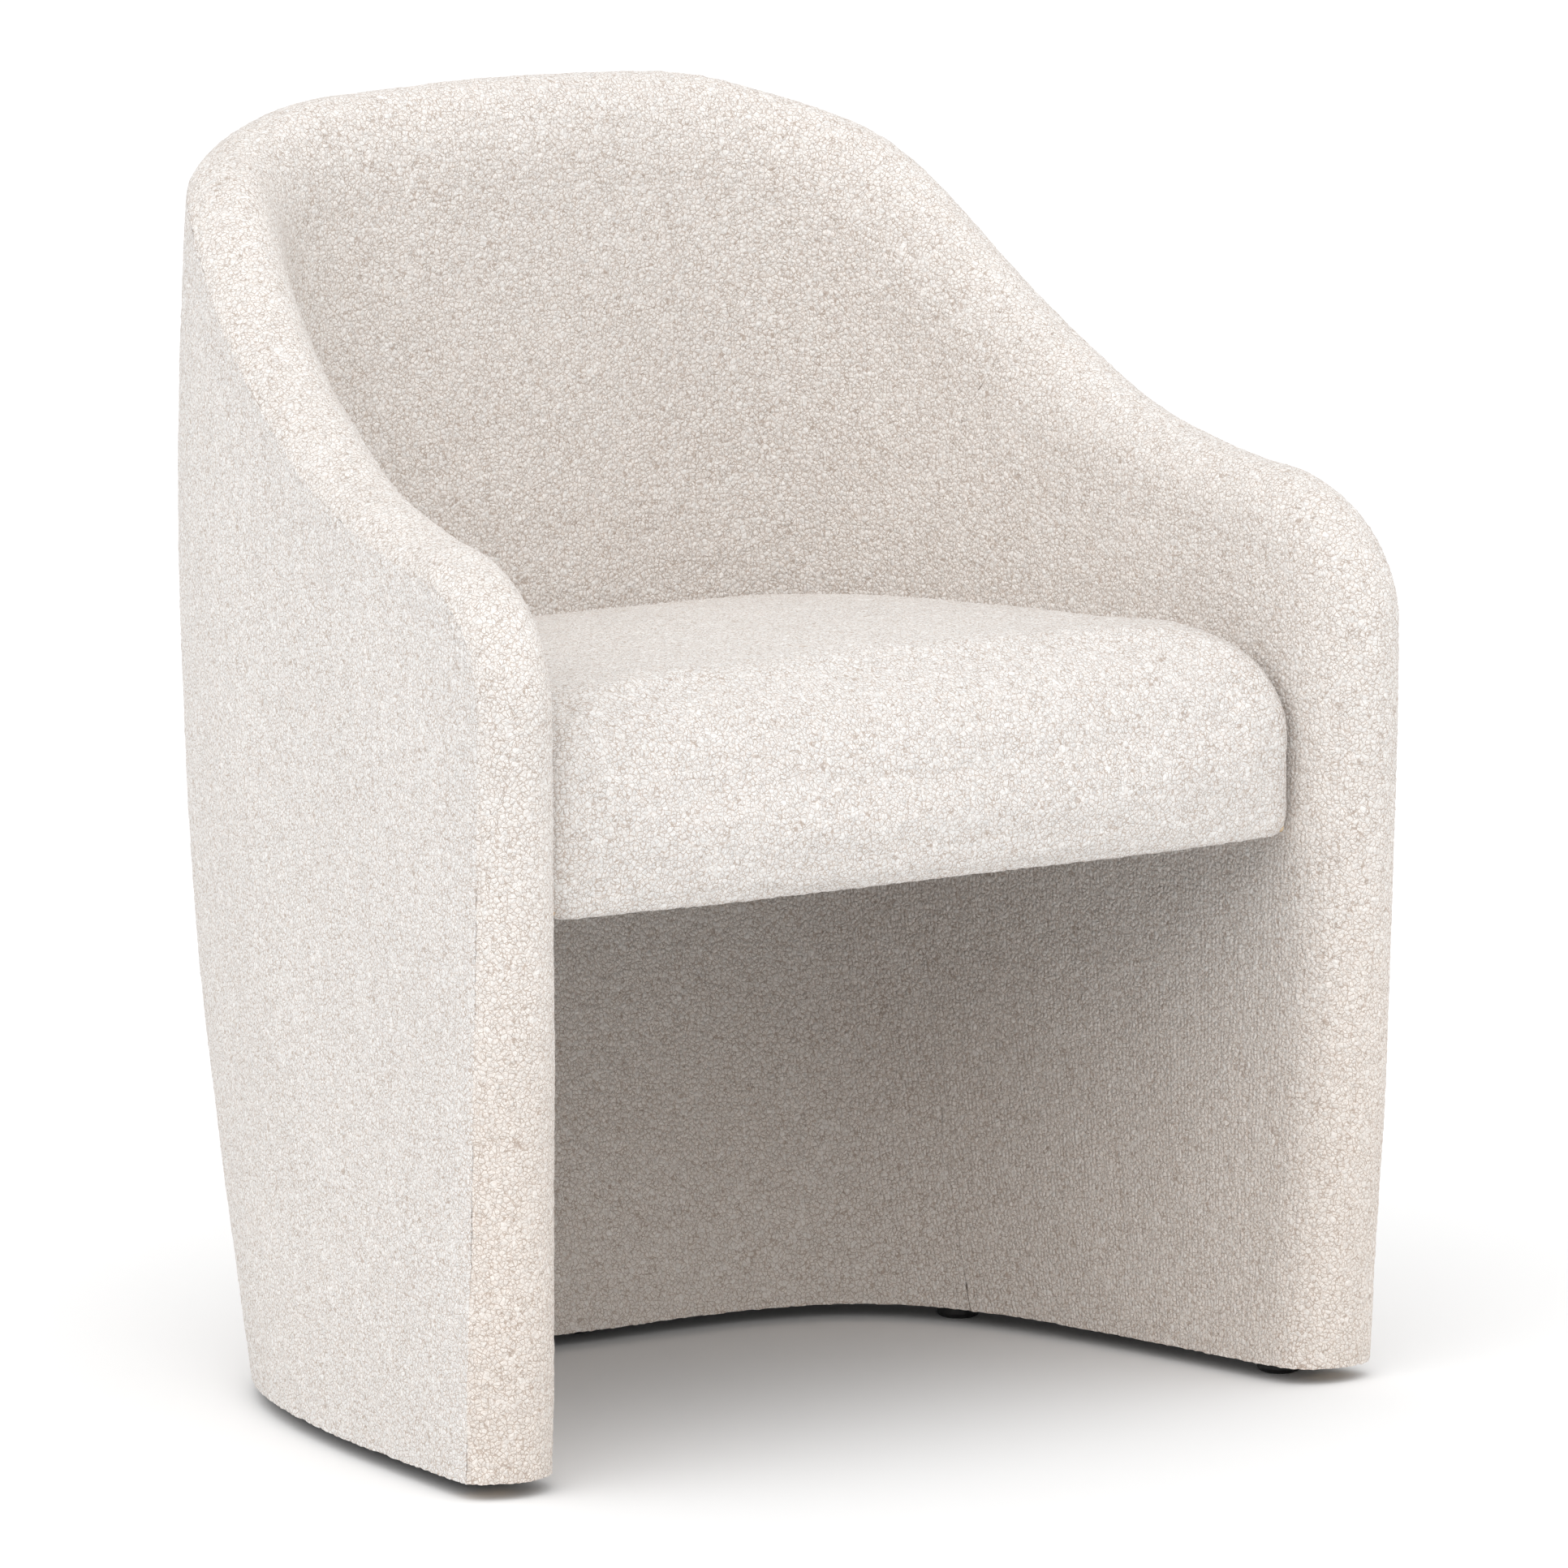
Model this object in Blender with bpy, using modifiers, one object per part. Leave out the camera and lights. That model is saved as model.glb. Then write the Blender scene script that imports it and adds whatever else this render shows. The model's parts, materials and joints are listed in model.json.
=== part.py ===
"""Barrel armchair: one U-shaped padded wall, open at the front, with a tight seat across it.

Wall coordinates.  Every piece of the wall is placed by three numbers:
  a  the distance round the wall from the middle of the back, right side positive (metres)
  z  the height above the floor (metres)
  n  the horizontal distance from the wall's middle surface, outward positive (metres)
The middle surface is lofted between a floor curve and a shoulder curve.
The front faces -Y, the floor is z = 0 and the chair is symmetric about X = 0.
"""
import math

import bmesh
import bpy
import numpy as np

# ---- overall shape ---------------------------------------------------------------------
FLOOR_CURVE = ((0.306, 0.0), (0.2745, 0.353), (0.234, 0.409), (0.0, 0.409))
SHOULDER_CURVE = ((0.314, -0.0254), (0.252, 0.505), (0.2500, 0.494), (0.0, 0.494))
SHOULDER_Z = 0.795
FLARE = -0.946          # below 0 the wall swells at mid height before it reaches the shoulder
WALL_FRONT = (0.0647, 0.0480)   # wall thickness at the front edge, at the floor and at the top
WALL_BACK = (0.1050, 0.0680)    # wall thickness at the middle of the back, likewise
RIM_HEIGHT = (0.566, 0.569, 0.594, 0.656, 0.748, 0.787, 0.792)
RIM_SHARE = (0.0, 0.14, 0.28, 0.42, 0.58, 0.78, 1.0)
RIM_SMOOTH = 0.022      # standard deviation of the smoothing along the rim
CORNER_R = 0.092        # the rim's turn from the front edge to the arm top
CREST_OUT_R = 0.020     # rounding of the rim on its outer side
CREST_IN_R = 0.036      # rounding of the rim on its inner side
COVER_Z = 0.0100        # lower edge of every cover
Y_SHIFT = -0.2578       # puts the origin under the middle of the bounding box

# ---- layers of the wall ----------------------------------------------------------------
COVER_T = 0.003
GAP = 0.0003
SOFT_GAP = 0.0006
FRAME_GAP = 0.0016      # room between the frame and the softer layers, which bend less evenly
SEAM_GAP = 0.0012
FOAM_T = 0.016
BOARD_T = 0.003
OUT_STACK = COVER_T + SOFT_GAP + FRAME_GAP
FOAM_E = COVER_T + SOFT_GAP
BOARD_E = FOAM_E + FOAM_T + FRAME_GAP
FRAME_E = BOARD_E + BOARD_T + FRAME_GAP
RAIL_EDGE = FOAM_E + FOAM_T + SOFT_GAP
RAIL_DEPTH = 0.042
SEAM_DROP = 0.016       # distance of the outer seam below the rim's crest
FIELD_D = 0.062         # width of the strip that the rim grid covers on the inner side
PLATE_T = 0.024
CLOTH_T = 0.0008
PLATE_Z = COVER_Z + CLOTH_T + 2 * GAP
BOARD_FOOT = PLATE_Z + 0.002
LEDGER_Z = 0.372
REAR_POST = 0.365       # distance round the wall from the front edge to the rear post's middle
POST_W = 0.042
POST_ROOM = 0.010       # room left below the sloping rails
OUTER_SEAM = 0.475      # distance round the wall from the front edge to the outside back seam
SEAM_LINE = ((0.0, 0.352), (0.21, 0.342), (0.37, 0.333), (0.48, 0.316), (0.58, 0.285), (0.70, 0.250))

# ---- seat ------------------------------------------------------------------------------
SEAT_Z = 0.347
SEAT_TOP_FRONT = 0.472
SEAT_TOP_BACK = 0.449
SEAT_CROWN = 0.012
SEAT_SETBACK = 0.033    # seat front behind the wall's front edge
SEAT_BOW = 0.010
SEAT_CLEAR = 0.0026
SEAT_SIDE_R = 0.026
SEAT_SIDE_DROP = 0.020
SEAT_FRONT_R = 0.055
SEAT_FRONT_DROP = 0.060
SEAT_MIDDLE_Y = 0.220
SEAT_INSET = 0.0042
SEAT_RAIL_W = 0.024
SEAT_RAIL_H = 0.050
SEAT_RAIL_Z = 0.3495
SEAT_JOINT = 0.395      # distance round the wall at which the side rails meet the back rail
BLOCK_W = 0.016
BLOCK_DROP = 0.006      # the blocks are this much lower than the rails, above and below
JOINT_BLOCK = 0.045
RAIL_BACK = 0.002       # front rail behind the seat front's inner face
FRONT_POINTS = 7
CORNER_BLOCK = 0.048
BLOCK_TOE = 0.008       # blunt end of a corner block
RAIL_ROOM = 0.004       # side rails start this far behind the front rail
STRAP_X = (-0.124, -0.062, 0.0, 0.062, 0.124)
STRAP_W = 0.046
STRAP_T = 0.0012
STRAP_FRONT = 0.002     # a strap's end behind the front rail's face
STRAP_BACK = 0.004      # and ahead of the back rail's
SEAT_FOAM_Z = SEAT_RAIL_Z + SEAT_RAIL_H + STRAP_T + 3 * GAP

# ---- small parts -----------------------------------------------------------------------
GLIDE_R = 0.014
GLIDE_H = 0.0095
GLIDE_FRONT = (0.069, -0.004)   # distance from the front edge, offset from the wall's middle
GLIDE_SIDE = (0.385, -0.012)
NAIL_R = 0.0018
NAIL_TOP = 0.031
HOLE_CLEAR = 0.0004
HOLE_SIDES = 12
CUT_PAST = 0.010        # how far a hole's cutter runs past the pieces it goes through
BOLT_R = 0.0030
BOLT_HEAD_R = 0.0060
BOLT_HEAD_H = 0.0035
BOLT_Z = 0.384
BOLT_PLACES = (0.120, 0.245)
BOLT_SEAT = 0.0010      # room between a bolt head and the rail, measured across the wall
BOLT_BACK = 0.0012      # further room for the head where the rail runs at an angle
BOLT_TIP_ROOM = 0.002
BOLT_SHORT = 0.006      # a bolt stops this far short of the ledger's outer face

COLLECTION = "barrel_armchair"
CUTTERS = "cutters"
MERGE = 1e-6            # points closer than this are one point
EDGE_ANGLE = 50         # edges sharper than this many degrees are eased
BAR_EASE = 0.0015
TABLE_N = 1200
# every wall piece is sampled at the same distances, so that neighbours' flat facets run parallel
STATIONS = (0.062, 0.092, 0.125, 0.165, 0.2075, 0.250, 0.290, 0.330, 0.365, 0.395, 0.4225, 0.450, 0.475,
            0.500, 0.530, 0.570, 0.6137)
FRONT_STEPS = 8
TURN_STEPS = 3
FIELD_ROWS = FRONT_STEPS + TURN_STEPS + 1
CREST_STEPS = 5
POST_STEPS = 13


# ---- wall coordinates ------------------------------------------------------------------
def bezier(points, t):
    """Cubic Bezier curve through its four control points, for an array of t from 0 to 1."""
    p = [np.array(q, dtype=float) for q in points]
    t = np.asarray(t, dtype=float)[..., None]
    r = 1.0 - t
    return r ** 3 * p[0] + 3 * t * r ** 2 * p[1] + 3 * t ** 2 * r * p[2] + t ** 3 * p[3]


def make_tables():
    """Arc-length tables of the two plan curves and of the rim height."""
    t = np.linspace(0.0, 1.0, TABLE_N)
    low = bezier(FLOOR_CURVE, t)
    high = bezier(SHOULDER_CURVE, t)
    middle = (low + high) / 2
    step = np.linalg.norm(np.diff(middle, axis=0), axis=1)
    s = np.concatenate([[0.0], np.cumsum(step)])
    dense = np.linspace(0.0, s[-1], TABLE_N)
    raw = np.interp(dense, np.array(RIM_SHARE) * s[-1], RIM_HEIGHT)
    reach = int(3 * RIM_SMOOTH / (dense[1] - dense[0]))
    k = np.arange(-reach, reach + 1) * (dense[1] - dense[0])
    kernel = np.exp(-0.5 * (k / RIM_SMOOTH) ** 2)
    padded = np.pad(raw, reach, mode="reflect", reflect_type="even")
    rim = np.convolve(padded, kernel / kernel.sum(), mode="valid")
    return s, low, high, dense, rim


S_TABLE, LOW_TABLE, HIGH_TABLE, RIM_S, RIM_Z = make_tables()
HALF = float(S_TABLE[-1])


def centre(a, z):
    """Point of the wall's middle surface: the two plan curves blended by height."""
    a, z = np.broadcast_arrays(np.asarray(a, dtype=float), np.asarray(z, dtype=float))
    s = HALF - np.abs(a)
    q = np.clip(z / SHOULDER_Z, 0.0, 1.2)
    k = FLARE * q + (1.0 - FLARE) * (2.0 * q - q * q)
    x = np.interp(s, S_TABLE, LOW_TABLE[:, 0]) * (1 - k) + np.interp(s, S_TABLE, HIGH_TABLE[:, 0]) * k
    y = np.interp(s, S_TABLE, LOW_TABLE[:, 1]) * (1 - k) + np.interp(s, S_TABLE, HIGH_TABLE[:, 1]) * k
    # beyond the front edge the surface goes straight on
    over = np.minimum(s, 0.0)
    return np.sign(a + 1e-12) * x, y + over


def thickness(a, z):
    """Wall thickness, blended along the wall and by height."""
    u = np.clip(1.0 - np.abs(a) / HALF, 0.0, 1.0)
    q = np.clip(np.asarray(z) / SHOULDER_Z, 0.0, 1.0)
    low = WALL_FRONT[0] + (WALL_BACK[0] - WALL_FRONT[0]) * u
    high = WALL_FRONT[1] + (WALL_BACK[1] - WALL_FRONT[1]) * u
    return low + (high - low) * q


def wall(a, z, n):
    """World position of wall coordinates a, z, n."""
    a = np.asarray(a, dtype=float)
    z = np.asarray(z, dtype=float)
    e = 0.0015
    x0, y0 = centre(a - e, z)
    x1, y1 = centre(a + e, z)
    tx = x1 - x0
    ty = y1 - y0
    size = np.hypot(tx, ty)
    x, y = centre(a, z)
    p = np.stack(np.broadcast_arrays(x - ty / size * n, y + tx / size * n + Y_SHIFT, z), axis=-1)
    return p


def rim_z(s):
    """Height of the rim's crest at a distance s from the front edge, past the corner."""
    return np.interp(s, RIM_S, RIM_Z)


def rim_path():
    """Crest line of one side as (s, z): up the front edge, round the corner, to the back's middle."""
    top = float(rim_z(CORNER_R))
    up_z = np.linspace(COVER_Z, top - CORNER_R, FRONT_STEPS + 1)[:-1]
    turn = np.linspace(0.0, math.pi / 2, 2 * TURN_STEPS + 1)[:-1]
    run_s = stations(CORNER_R, HALF)
    s = np.concatenate([np.zeros(FRONT_STEPS), CORNER_R * (1 - np.cos(turn)), run_s])
    z = np.concatenate([up_z, top - CORNER_R + CORNER_R * np.sin(turn), rim_z(run_s)])
    return s, z, FRONT_STEPS + TURN_STEPS


def stations(low, high):
    """Shared distances from the front edge between two limits, both limits included."""
    inner = [q for q in STATIONS if low + 0.004 < q < high - 0.004]
    return np.array([low] + inner + [high])


def path_normal(s, z):
    """Unit normals of the crest line in the (s, z) plane, pointing into the wall."""
    s = np.asarray(s, dtype=float)
    z = np.asarray(z, dtype=float)
    near = np.where(s > HALF, 2 * HALF - s, s)
    e = 0.001
    slope = (rim_z(np.minimum(near + e, HALF)) - rim_z(near - e)) / (2 * e)
    slope = np.where(near > HALF - e, 0.0, slope) * np.where(s > HALF, -1.0, 1.0)
    size = np.sqrt(1 + slope * slope)
    ns = slope / size
    nz = -1.0 / size
    top = float(rim_z(CORNER_R)) - CORNER_R
    turn_s = (CORNER_R - near) / CORNER_R
    turn_z = np.minimum(top - z, 0.0) / CORNER_R
    size = np.hypot(turn_s, turn_z) + 1e-12
    corner = near < CORNER_R - 1e-9
    ns = np.where(corner, turn_s / size, ns)
    nz = np.where(corner, turn_z / size, nz)
    return ns, nz


# ---- mesh helpers ----------------------------------------------------------------------
def link(obj, name):
    """Put an object in the collection of the given name."""
    group = bpy.data.collections.get(name)
    if group is None:
        group = bpy.data.collections.new(name)
        bpy.context.scene.collection.children.link(group)
    group.objects.link(obj)
    return obj


def mesh_object(name, verts, faces, mat):
    """Object from arrays of points and faces, doubles merged and faces turned outward."""
    mesh = bpy.data.meshes.new(name)
    mesh.from_pydata([tuple(v) for v in np.asarray(verts).reshape(-1, 3)], [], faces)
    obj = link(bpy.data.objects.new(name, mesh), COLLECTION)
    bm = bmesh.new()
    bm.from_mesh(mesh)
    bmesh.ops.remove_doubles(bm, verts=bm.verts, dist=MERGE)
    bmesh.ops.recalc_face_normals(bm, faces=bm.faces)
    bm.to_mesh(mesh)
    bm.free()
    obj.data.materials.append(mat)
    return obj


def apply_modifiers(obj):
    """Bake the object's modifier stack into its mesh."""
    deps = bpy.context.evaluated_depsgraph_get()
    mesh = bpy.data.meshes.new_from_object(obj.evaluated_get(deps))
    obj.modifiers.clear()
    old = obj.data
    obj.data = mesh
    mesh.name = obj.name
    bpy.data.meshes.remove(old)


def grid_faces(rows, cols, offset=0):
    """Triangles of a rows by cols grid of points numbered row by row.

    Every cell is split along the same diagonal, so that the facets of neighbouring layers agree.
    """
    faces = []
    for i in range(rows - 1):
        for j in range(cols - 1):
            p = offset + i * cols + j
            faces.append((p, p + 1, p + cols + 1))
            faces.append((p, p + cols + 1, p + cols))
    return faces


def two_skin(name, outer, inner, mat):
    """Closed body between two matching sets of surface grids, joined round their open border."""
    verts = []
    faces = []
    for grid in outer:
        rows, cols = grid.shape[:2]
        faces += grid_faces(rows, cols, sum(len(v) for v in verts))
        verts.append(grid.reshape(-1, 3))
    out = np.concatenate(verts)
    back = np.concatenate([grid.reshape(-1, 3) for grid in inner])
    _, first, index = np.unique(np.round(out, 9), axis=0, return_index=True, return_inverse=True)
    index = index.reshape(-1)
    skin = [tuple(int(index[q]) for q in face) for face in faces]
    uses = {}
    for face in skin:
        for q in range(3):
            edge = tuple(sorted((face[q], face[(q + 1) % 3])))
            uses[edge] = uses.get(edge, 0) + 1
    count = len(first)
    whole = list(skin)
    whole += [tuple(count + q for q in face[::-1]) for face in skin]
    for (a, b), times in uses.items():
        if times == 1:
            whole.append((b, a, count + a, count + b))
    points = np.concatenate([out[first], back[first]])
    return mesh_object(name, points, whole, mat)


def shell(name, grid, t, mat, outward):
    """Closed sheet of thickness t from a surface grid; it grows away from the room if outward."""
    rows, cols = grid.shape[:2]
    obj = mesh_object(name, grid, grid_faces(rows, cols), mat)
    face = obj.data.polygons[0]
    away = np.array(face.center) - np.array((0.0, 0.0, face.center[2]))
    faces_out = float(np.dot(np.array(face.normal), away)) > 0
    solid = obj.modifiers.new("thickness", "SOLIDIFY")
    solid.thickness = t
    solid.offset = 1.0 if faces_out == outward else -1.0
    solid.use_even_offset = True
    apply_modifiers(obj)
    bm = bmesh.new()
    bm.from_mesh(obj.data)
    bmesh.ops.recalc_face_normals(bm, faces=bm.faces)
    bm.to_mesh(obj.data)
    bm.free()
    return obj


def loft(name, rings, mat, bevel=0.0):
    """Closed bar through rings of equally many corners, with flat ends and eased edges."""
    rings = np.asarray(rings)
    count, corners = rings.shape[:2]
    faces = [tuple(range(corners))[::-1]]
    for i in range(count - 1):
        for j in range(corners):
            k = (j + 1) % corners
            low = corners * i
            faces.append((low + j, low + k, low + corners + k, low + corners + j))
    last = corners * (count - 1)
    faces.append(tuple(range(last, last + corners)))
    obj = mesh_object(name, rings, faces, mat)
    if bevel > 0:
        mod = obj.modifiers.new("eased", "BEVEL")
        mod.width = bevel
        mod.segments = 1
        mod.limit_method = "ANGLE"
        mod.angle_limit = math.radians(EDGE_ANGLE)
        apply_modifiers(obj)
    return obj


def turned(name, profile, steps, mat):
    """Turned solid: a profile of (radius, z) from the top to the bottom, spun round Z."""
    mesh = bpy.data.meshes.new(name)
    mesh.from_pydata([(r, 0.0, z) for r, z in profile], [(i, i + 1) for i in range(len(profile) - 1)], [])
    obj = link(bpy.data.objects.new(name, mesh), COLLECTION)
    screw = obj.modifiers.new("spin", "SCREW")
    screw.steps = steps
    screw.render_steps = steps
    screw.use_merge_vertices = True
    screw.merge_threshold = MERGE
    apply_modifiers(obj)
    bm = bmesh.new()
    bm.from_mesh(obj.data)
    bmesh.ops.remove_doubles(bm, verts=bm.verts, dist=MERGE)
    bmesh.ops.recalc_face_normals(bm, faces=bm.faces)
    bm.to_mesh(obj.data)
    bm.free()
    obj.data.materials.append(mat)
    return obj


def move(obj, x, y, z, turn_y=0.0):
    """Turn the mesh about Y and move it, leaving the object at the origin."""
    c = math.cos(turn_y)
    s = math.sin(turn_y)
    for v in obj.data.vertices:
        px, py, pz = v.co
        v.co = (px * c + pz * s + x, py + y, -px * s + pz * c + z)
    return obj


def drill(target, cutters):
    """Cut clearance holes for the given cutters with exact Booleans."""
    for i, cutter in enumerate(cutters):
        mod = target.modifiers.new("hole %d" % i, "BOOLEAN")
        mod.operation = "DIFFERENCE"
        mod.solver = "EXACT"
        mod.object = cutter
    apply_modifiers(target)


def hole_cutter(name, start, end, r):
    """Cylinder between two points, from the cone primitive, kept as a cutter."""
    start = np.asarray(start, dtype=float)
    end = np.asarray(end, dtype=float)
    axis = end - start
    size = float(np.linalg.norm(axis))
    mesh = bpy.data.meshes.new(name)
    bm = bmesh.new()
    bmesh.ops.create_cone(bm, cap_ends=True, segments=HOLE_SIDES, radius1=r, radius2=r, depth=size)
    w = axis / size
    u = np.cross(w, (0.0, 1.0, 0.0))
    u = u / np.linalg.norm(u)
    v = np.cross(w, u)
    middle = (start + end) / 2
    for vert in bm.verts:
        c = np.array(vert.co)
        vert.co = tuple(middle + u * c[0] + v * c[1] + w * c[2])
    bm.to_mesh(mesh)
    bm.free()
    obj = link(bpy.data.objects.new(name, mesh), CUTTERS)
    obj.hide_render = True
    obj.display_type = "WIRE"
    return obj


def material(name, color, roughness, metallic=0.0):
    """Principled material for one sub-part."""
    mat = bpy.data.materials.new(name)
    mat.use_nodes = True
    mat.diffuse_color = (*color, 1.0)
    bsdf = mat.node_tree.nodes["Principled BSDF"]
    bsdf.inputs["Base Color"].default_value = (*color, 1.0)
    bsdf.inputs["Roughness"].default_value = roughness
    bsdf.inputs["Metallic"].default_value = metallic
    return mat


WOOL = (0.78, 0.75, 0.70)
FOAM = (0.86, 0.78, 0.52)
PLYWOOD = (0.66, 0.50, 0.32)
HARDBOARD = (0.38, 0.25, 0.15)
STEEL = (0.55, 0.55, 0.56)
BLACK = (0.03, 0.03, 0.03)


# ---- wall pieces -----------------------------------------------------------------------
def seam_s(z):
    """Distance from the front edge to the inside back seam at height z."""
    return np.interp(z, [p[0] for p in SEAM_LINE], [p[1] for p in SEAM_LINE])


def crest_rows(e):
    """Rows of the rim's section as (side, share of half thickness, depth), outer seam to inner side.

    Each side is a quarter ellipse; e shrinks it to a surface that lies e inside the finished one.
    """
    rows = []
    lowest = math.asin(1 - SEAM_DROP / CREST_OUT_R)
    for turn in np.linspace(lowest, math.pi / 2, CREST_STEPS)[:-1]:
        rows.append((1.0, math.cos(turn), CREST_OUT_R * (1 - math.sin(turn)) + e * math.sin(turn)))
    for turn in np.linspace(math.pi / 2, 0.0, CREST_STEPS + 1):
        rows.append((-1.0, math.cos(turn), CREST_IN_R * (1 - math.sin(turn)) + e * math.sin(turn)))
    rows.append((-1.0, 1.0, FIELD_D))
    return rows


def rim_strip(s, z, e, block=None):
    """Rim surface over samples of the crest line, from the outer seam over the crest to the inner side.

    With block given, the rows are pushed back to the flat envelope of the frame instead: block is
    the depth of the frame's top edge below the crest.
    """
    ns, nz = path_normal(s, z)
    rows = crest_rows(FOAM_E if block is not None else e)
    points = []
    flat = sum(1 for row in rows if row[2] <= FOAM_E + FOAM_T)
    for i, (sign, share, d) in enumerate(rows):
        if block is not None:
            d = max(d, block)
        ss = s + ns * d
        zz = z + nz * d
        half = thickness(HALF - ss, zz) / 2
        if block is None:
            n = sign * share * (half - e)
        else:
            out_n = half - OUT_STACK
            in_n = -(half - e)
            n = out_n + (in_n - out_n) * min(i / (flat - 1), 1.0)
        points.append((ss, zz, n))
    return points


def coons(left, top, right, bottom):
    """Transfinite patch in the (s, z) plane between four sides given as point arrays."""
    rows = len(left)
    cols = len(top)
    v = np.linspace(0, 1, rows)[:, None, None]
    u = np.linspace(0, 1, cols)[None, :, None]
    sides = (1 - u) * left[:, None] + u * right[:, None] + (1 - v) * bottom[None] + v * top[None]
    corners = (1 - u) * (1 - v) * left[0] + u * (1 - v) * right[0] + (1 - u) * v * left[-1] + u * v * top[-1]
    return sides - corners


def side_line(z_low, s_high, z_high, rows, gap):
    """Side of a patch along the inside back seam, from the floor end up to a given point."""
    z = np.linspace(z_low, z_high, rows)
    lean = (s_high - seam_s(z_high) + gap) * (z - z_low) / (z_high - z_low)
    return np.stack([seam_s(z) - gap + lean, z], axis=-1)


def to_world(s, z, n, sign):
    """World points of one side: sign is 1 on the right and -1 on the left."""
    return wall(sign * (HALF - s), z, n)


def arm_lining(sign, e, gap, low_z, block=None):
    """Grids of the inside arm surface with the rim and the front edge, e below the finished face."""
    s, z, corner = rim_path()
    end = seam_s(SEAM_LINE[-1][0])
    keep = s <= end + 1e-9
    s = s[keep]
    z = np.maximum(z[keep], low_z)
    points = rim_strip(s, z, e, block)
    shift = np.zeros_like(s)
    shift[-1] = gap
    rows = np.stack([to_world(ss - shift, zz, n, sign) for ss, zz, n in points])
    ss, zz, _ = points[-1]
    line = np.stack([ss - shift, zz], axis=-1)
    left = line[:corner + 1]
    top = line[corner:]
    right = side_line(low_z, top[-1, 0], top[-1, 1], len(left), gap)
    bottom = np.stack([np.linspace(left[0, 0], right[0, 0], len(top)), np.full(len(top), low_z)], axis=-1)
    patch = coons(left, top, right, bottom)
    n = -(thickness(HALF - patch[..., 0], patch[..., 1]) / 2 - e)
    field = to_world(patch[..., 0], patch[..., 1], n, sign)
    field[:, 0] = rows[-1][:corner + 1]
    field[-1] = rows[-1][corner:]
    return [rows, field]


def back_lining(e, gap, low_z, block=None):
    """Grids of the inside back surface with the top rim, between the two inside back seams."""
    run = stations(float(seam_s(SEAM_LINE[-1][0])), HALF)
    s = np.concatenate([run, (2 * HALF - run)[::-1][1:]])
    z = rim_z(np.where(s > HALF, 2 * HALF - s, s))
    points = rim_strip(s, z, e, block)
    shift = np.zeros_like(s)
    shift[0] = gap
    shift[-1] = -gap
    rows = np.stack([wall(HALF - (ss + shift), zz, n) for ss, zz, n in points])
    ss, zz, _ = points[-1]
    top = np.stack([ss + shift, zz], axis=-1)
    left = side_line(low_z, top[0, 0], top[0, 1], FIELD_ROWS, -gap)
    right = left.copy()
    right[:, 0] = 2 * HALF - left[:, 0]
    bottom = np.stack([np.linspace(left[0, 0], right[0, 0], len(top)), np.full(len(top), low_z)], axis=-1)
    patch = coons(left, top, right, bottom)
    a = HALF - patch[..., 0]
    n = -(thickness(a, patch[..., 1]) / 2 - e)
    field = wall(a, patch[..., 1], n)
    field[-1] = rows[-1]
    return [rows, field]


def outer_field(sign):
    """Grid of the outside arm surface, from the front seam and arm seam to the outside back seam."""
    s, z, corner = rim_path()
    keep = s <= OUTER_SEAM + 1e-9
    s = s[keep]
    z = z[keep]
    ns, nz = path_normal(s, z)
    d = SEAM_DROP + SEAM_GAP
    line = np.stack([s + ns * d, z + nz * d], axis=-1)
    line[0, 1] = COVER_Z
    left = line[:corner + 1]
    top = line[corner:]
    end = OUTER_SEAM - SOFT_GAP / 2
    top[-1] = (end, rim_z(end) - d)
    right = np.stack([np.full(len(left), end), np.linspace(COVER_Z, top[-1, 1], len(left))], axis=-1)
    bottom = np.stack([top[:, 0], np.full(len(top), COVER_Z)], axis=-1)
    bottom[:, 0] += (left[0, 0] - bottom[0, 0]) * np.linspace(1, 0, len(top)) ** 3
    patch = coons(left, top, right, bottom)
    return outer_points(patch, sign)


def outer_points(patch, sign):
    """World points of an outside patch; near the rim the surface follows the crest's rounding."""
    s = patch[..., 0]
    z = patch[..., 1]
    near = np.where(s > HALF, 2 * HALF - s, s)
    top = float(rim_z(CORNER_R)) - CORNER_R
    depth = np.minimum(near, np.where(near < CORNER_R, 1.0, rim_z(near) - z))
    turn = CORNER_R - np.hypot(CORNER_R - near, np.maximum(z - top, 0.0))
    depth = np.where((near < CORNER_R) & (z > top), turn, depth)
    q = np.clip(1 - depth / CREST_OUT_R, 0.0, 1.0)
    n = thickness(HALF - near, z) / 2 * np.sqrt(1 - q * q)
    return to_world(s, z, n, sign)


def outside_back_grid():
    """Grid of the outside back between the two outside back seams."""
    run = stations(OUTER_SEAM + SOFT_GAP / 2, HALF)
    s = np.concatenate([run, (2 * HALF - run)[::-1][1:]])
    near = np.where(s > HALF, 2 * HALF - s, s)
    top_z = rim_z(near) - SEAM_DROP - SEAM_GAP
    v = np.linspace(0, 1, FIELD_ROWS)[:, None]
    patch = np.stack([np.broadcast_to(s, (FIELD_ROWS, len(s))), COVER_Z + v * (top_z - COVER_Z)], axis=-1)
    return outer_points(patch, 1)


def across(a, z, inner):
    """Offset n of the frame's inner or outer face at a place on the wall."""
    half = float(thickness(a, z)) / 2
    return -half + FRAME_E if inner else half - OUT_STACK


def path_bar(name, s, z, sign, d0, d1, mat):
    """Bar that follows the crest line between depths d0 and d1, inside the wall's layers."""
    ns, nz = path_normal(s, z)
    rings = []
    for i in range(len(s)):
        ring = []
        for d, inner in ((d0, False), (d0, True), (d1, True), (d1, False)):
            a = HALF - s[i] - ns[i] * d
            zz = z[i] + nz[i] * d
            ring.append(wall(sign * a, zz, across(a, zz, inner)))
        rings.append(ring)
    return loft(name, rings, mat, BAR_EASE)


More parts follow.
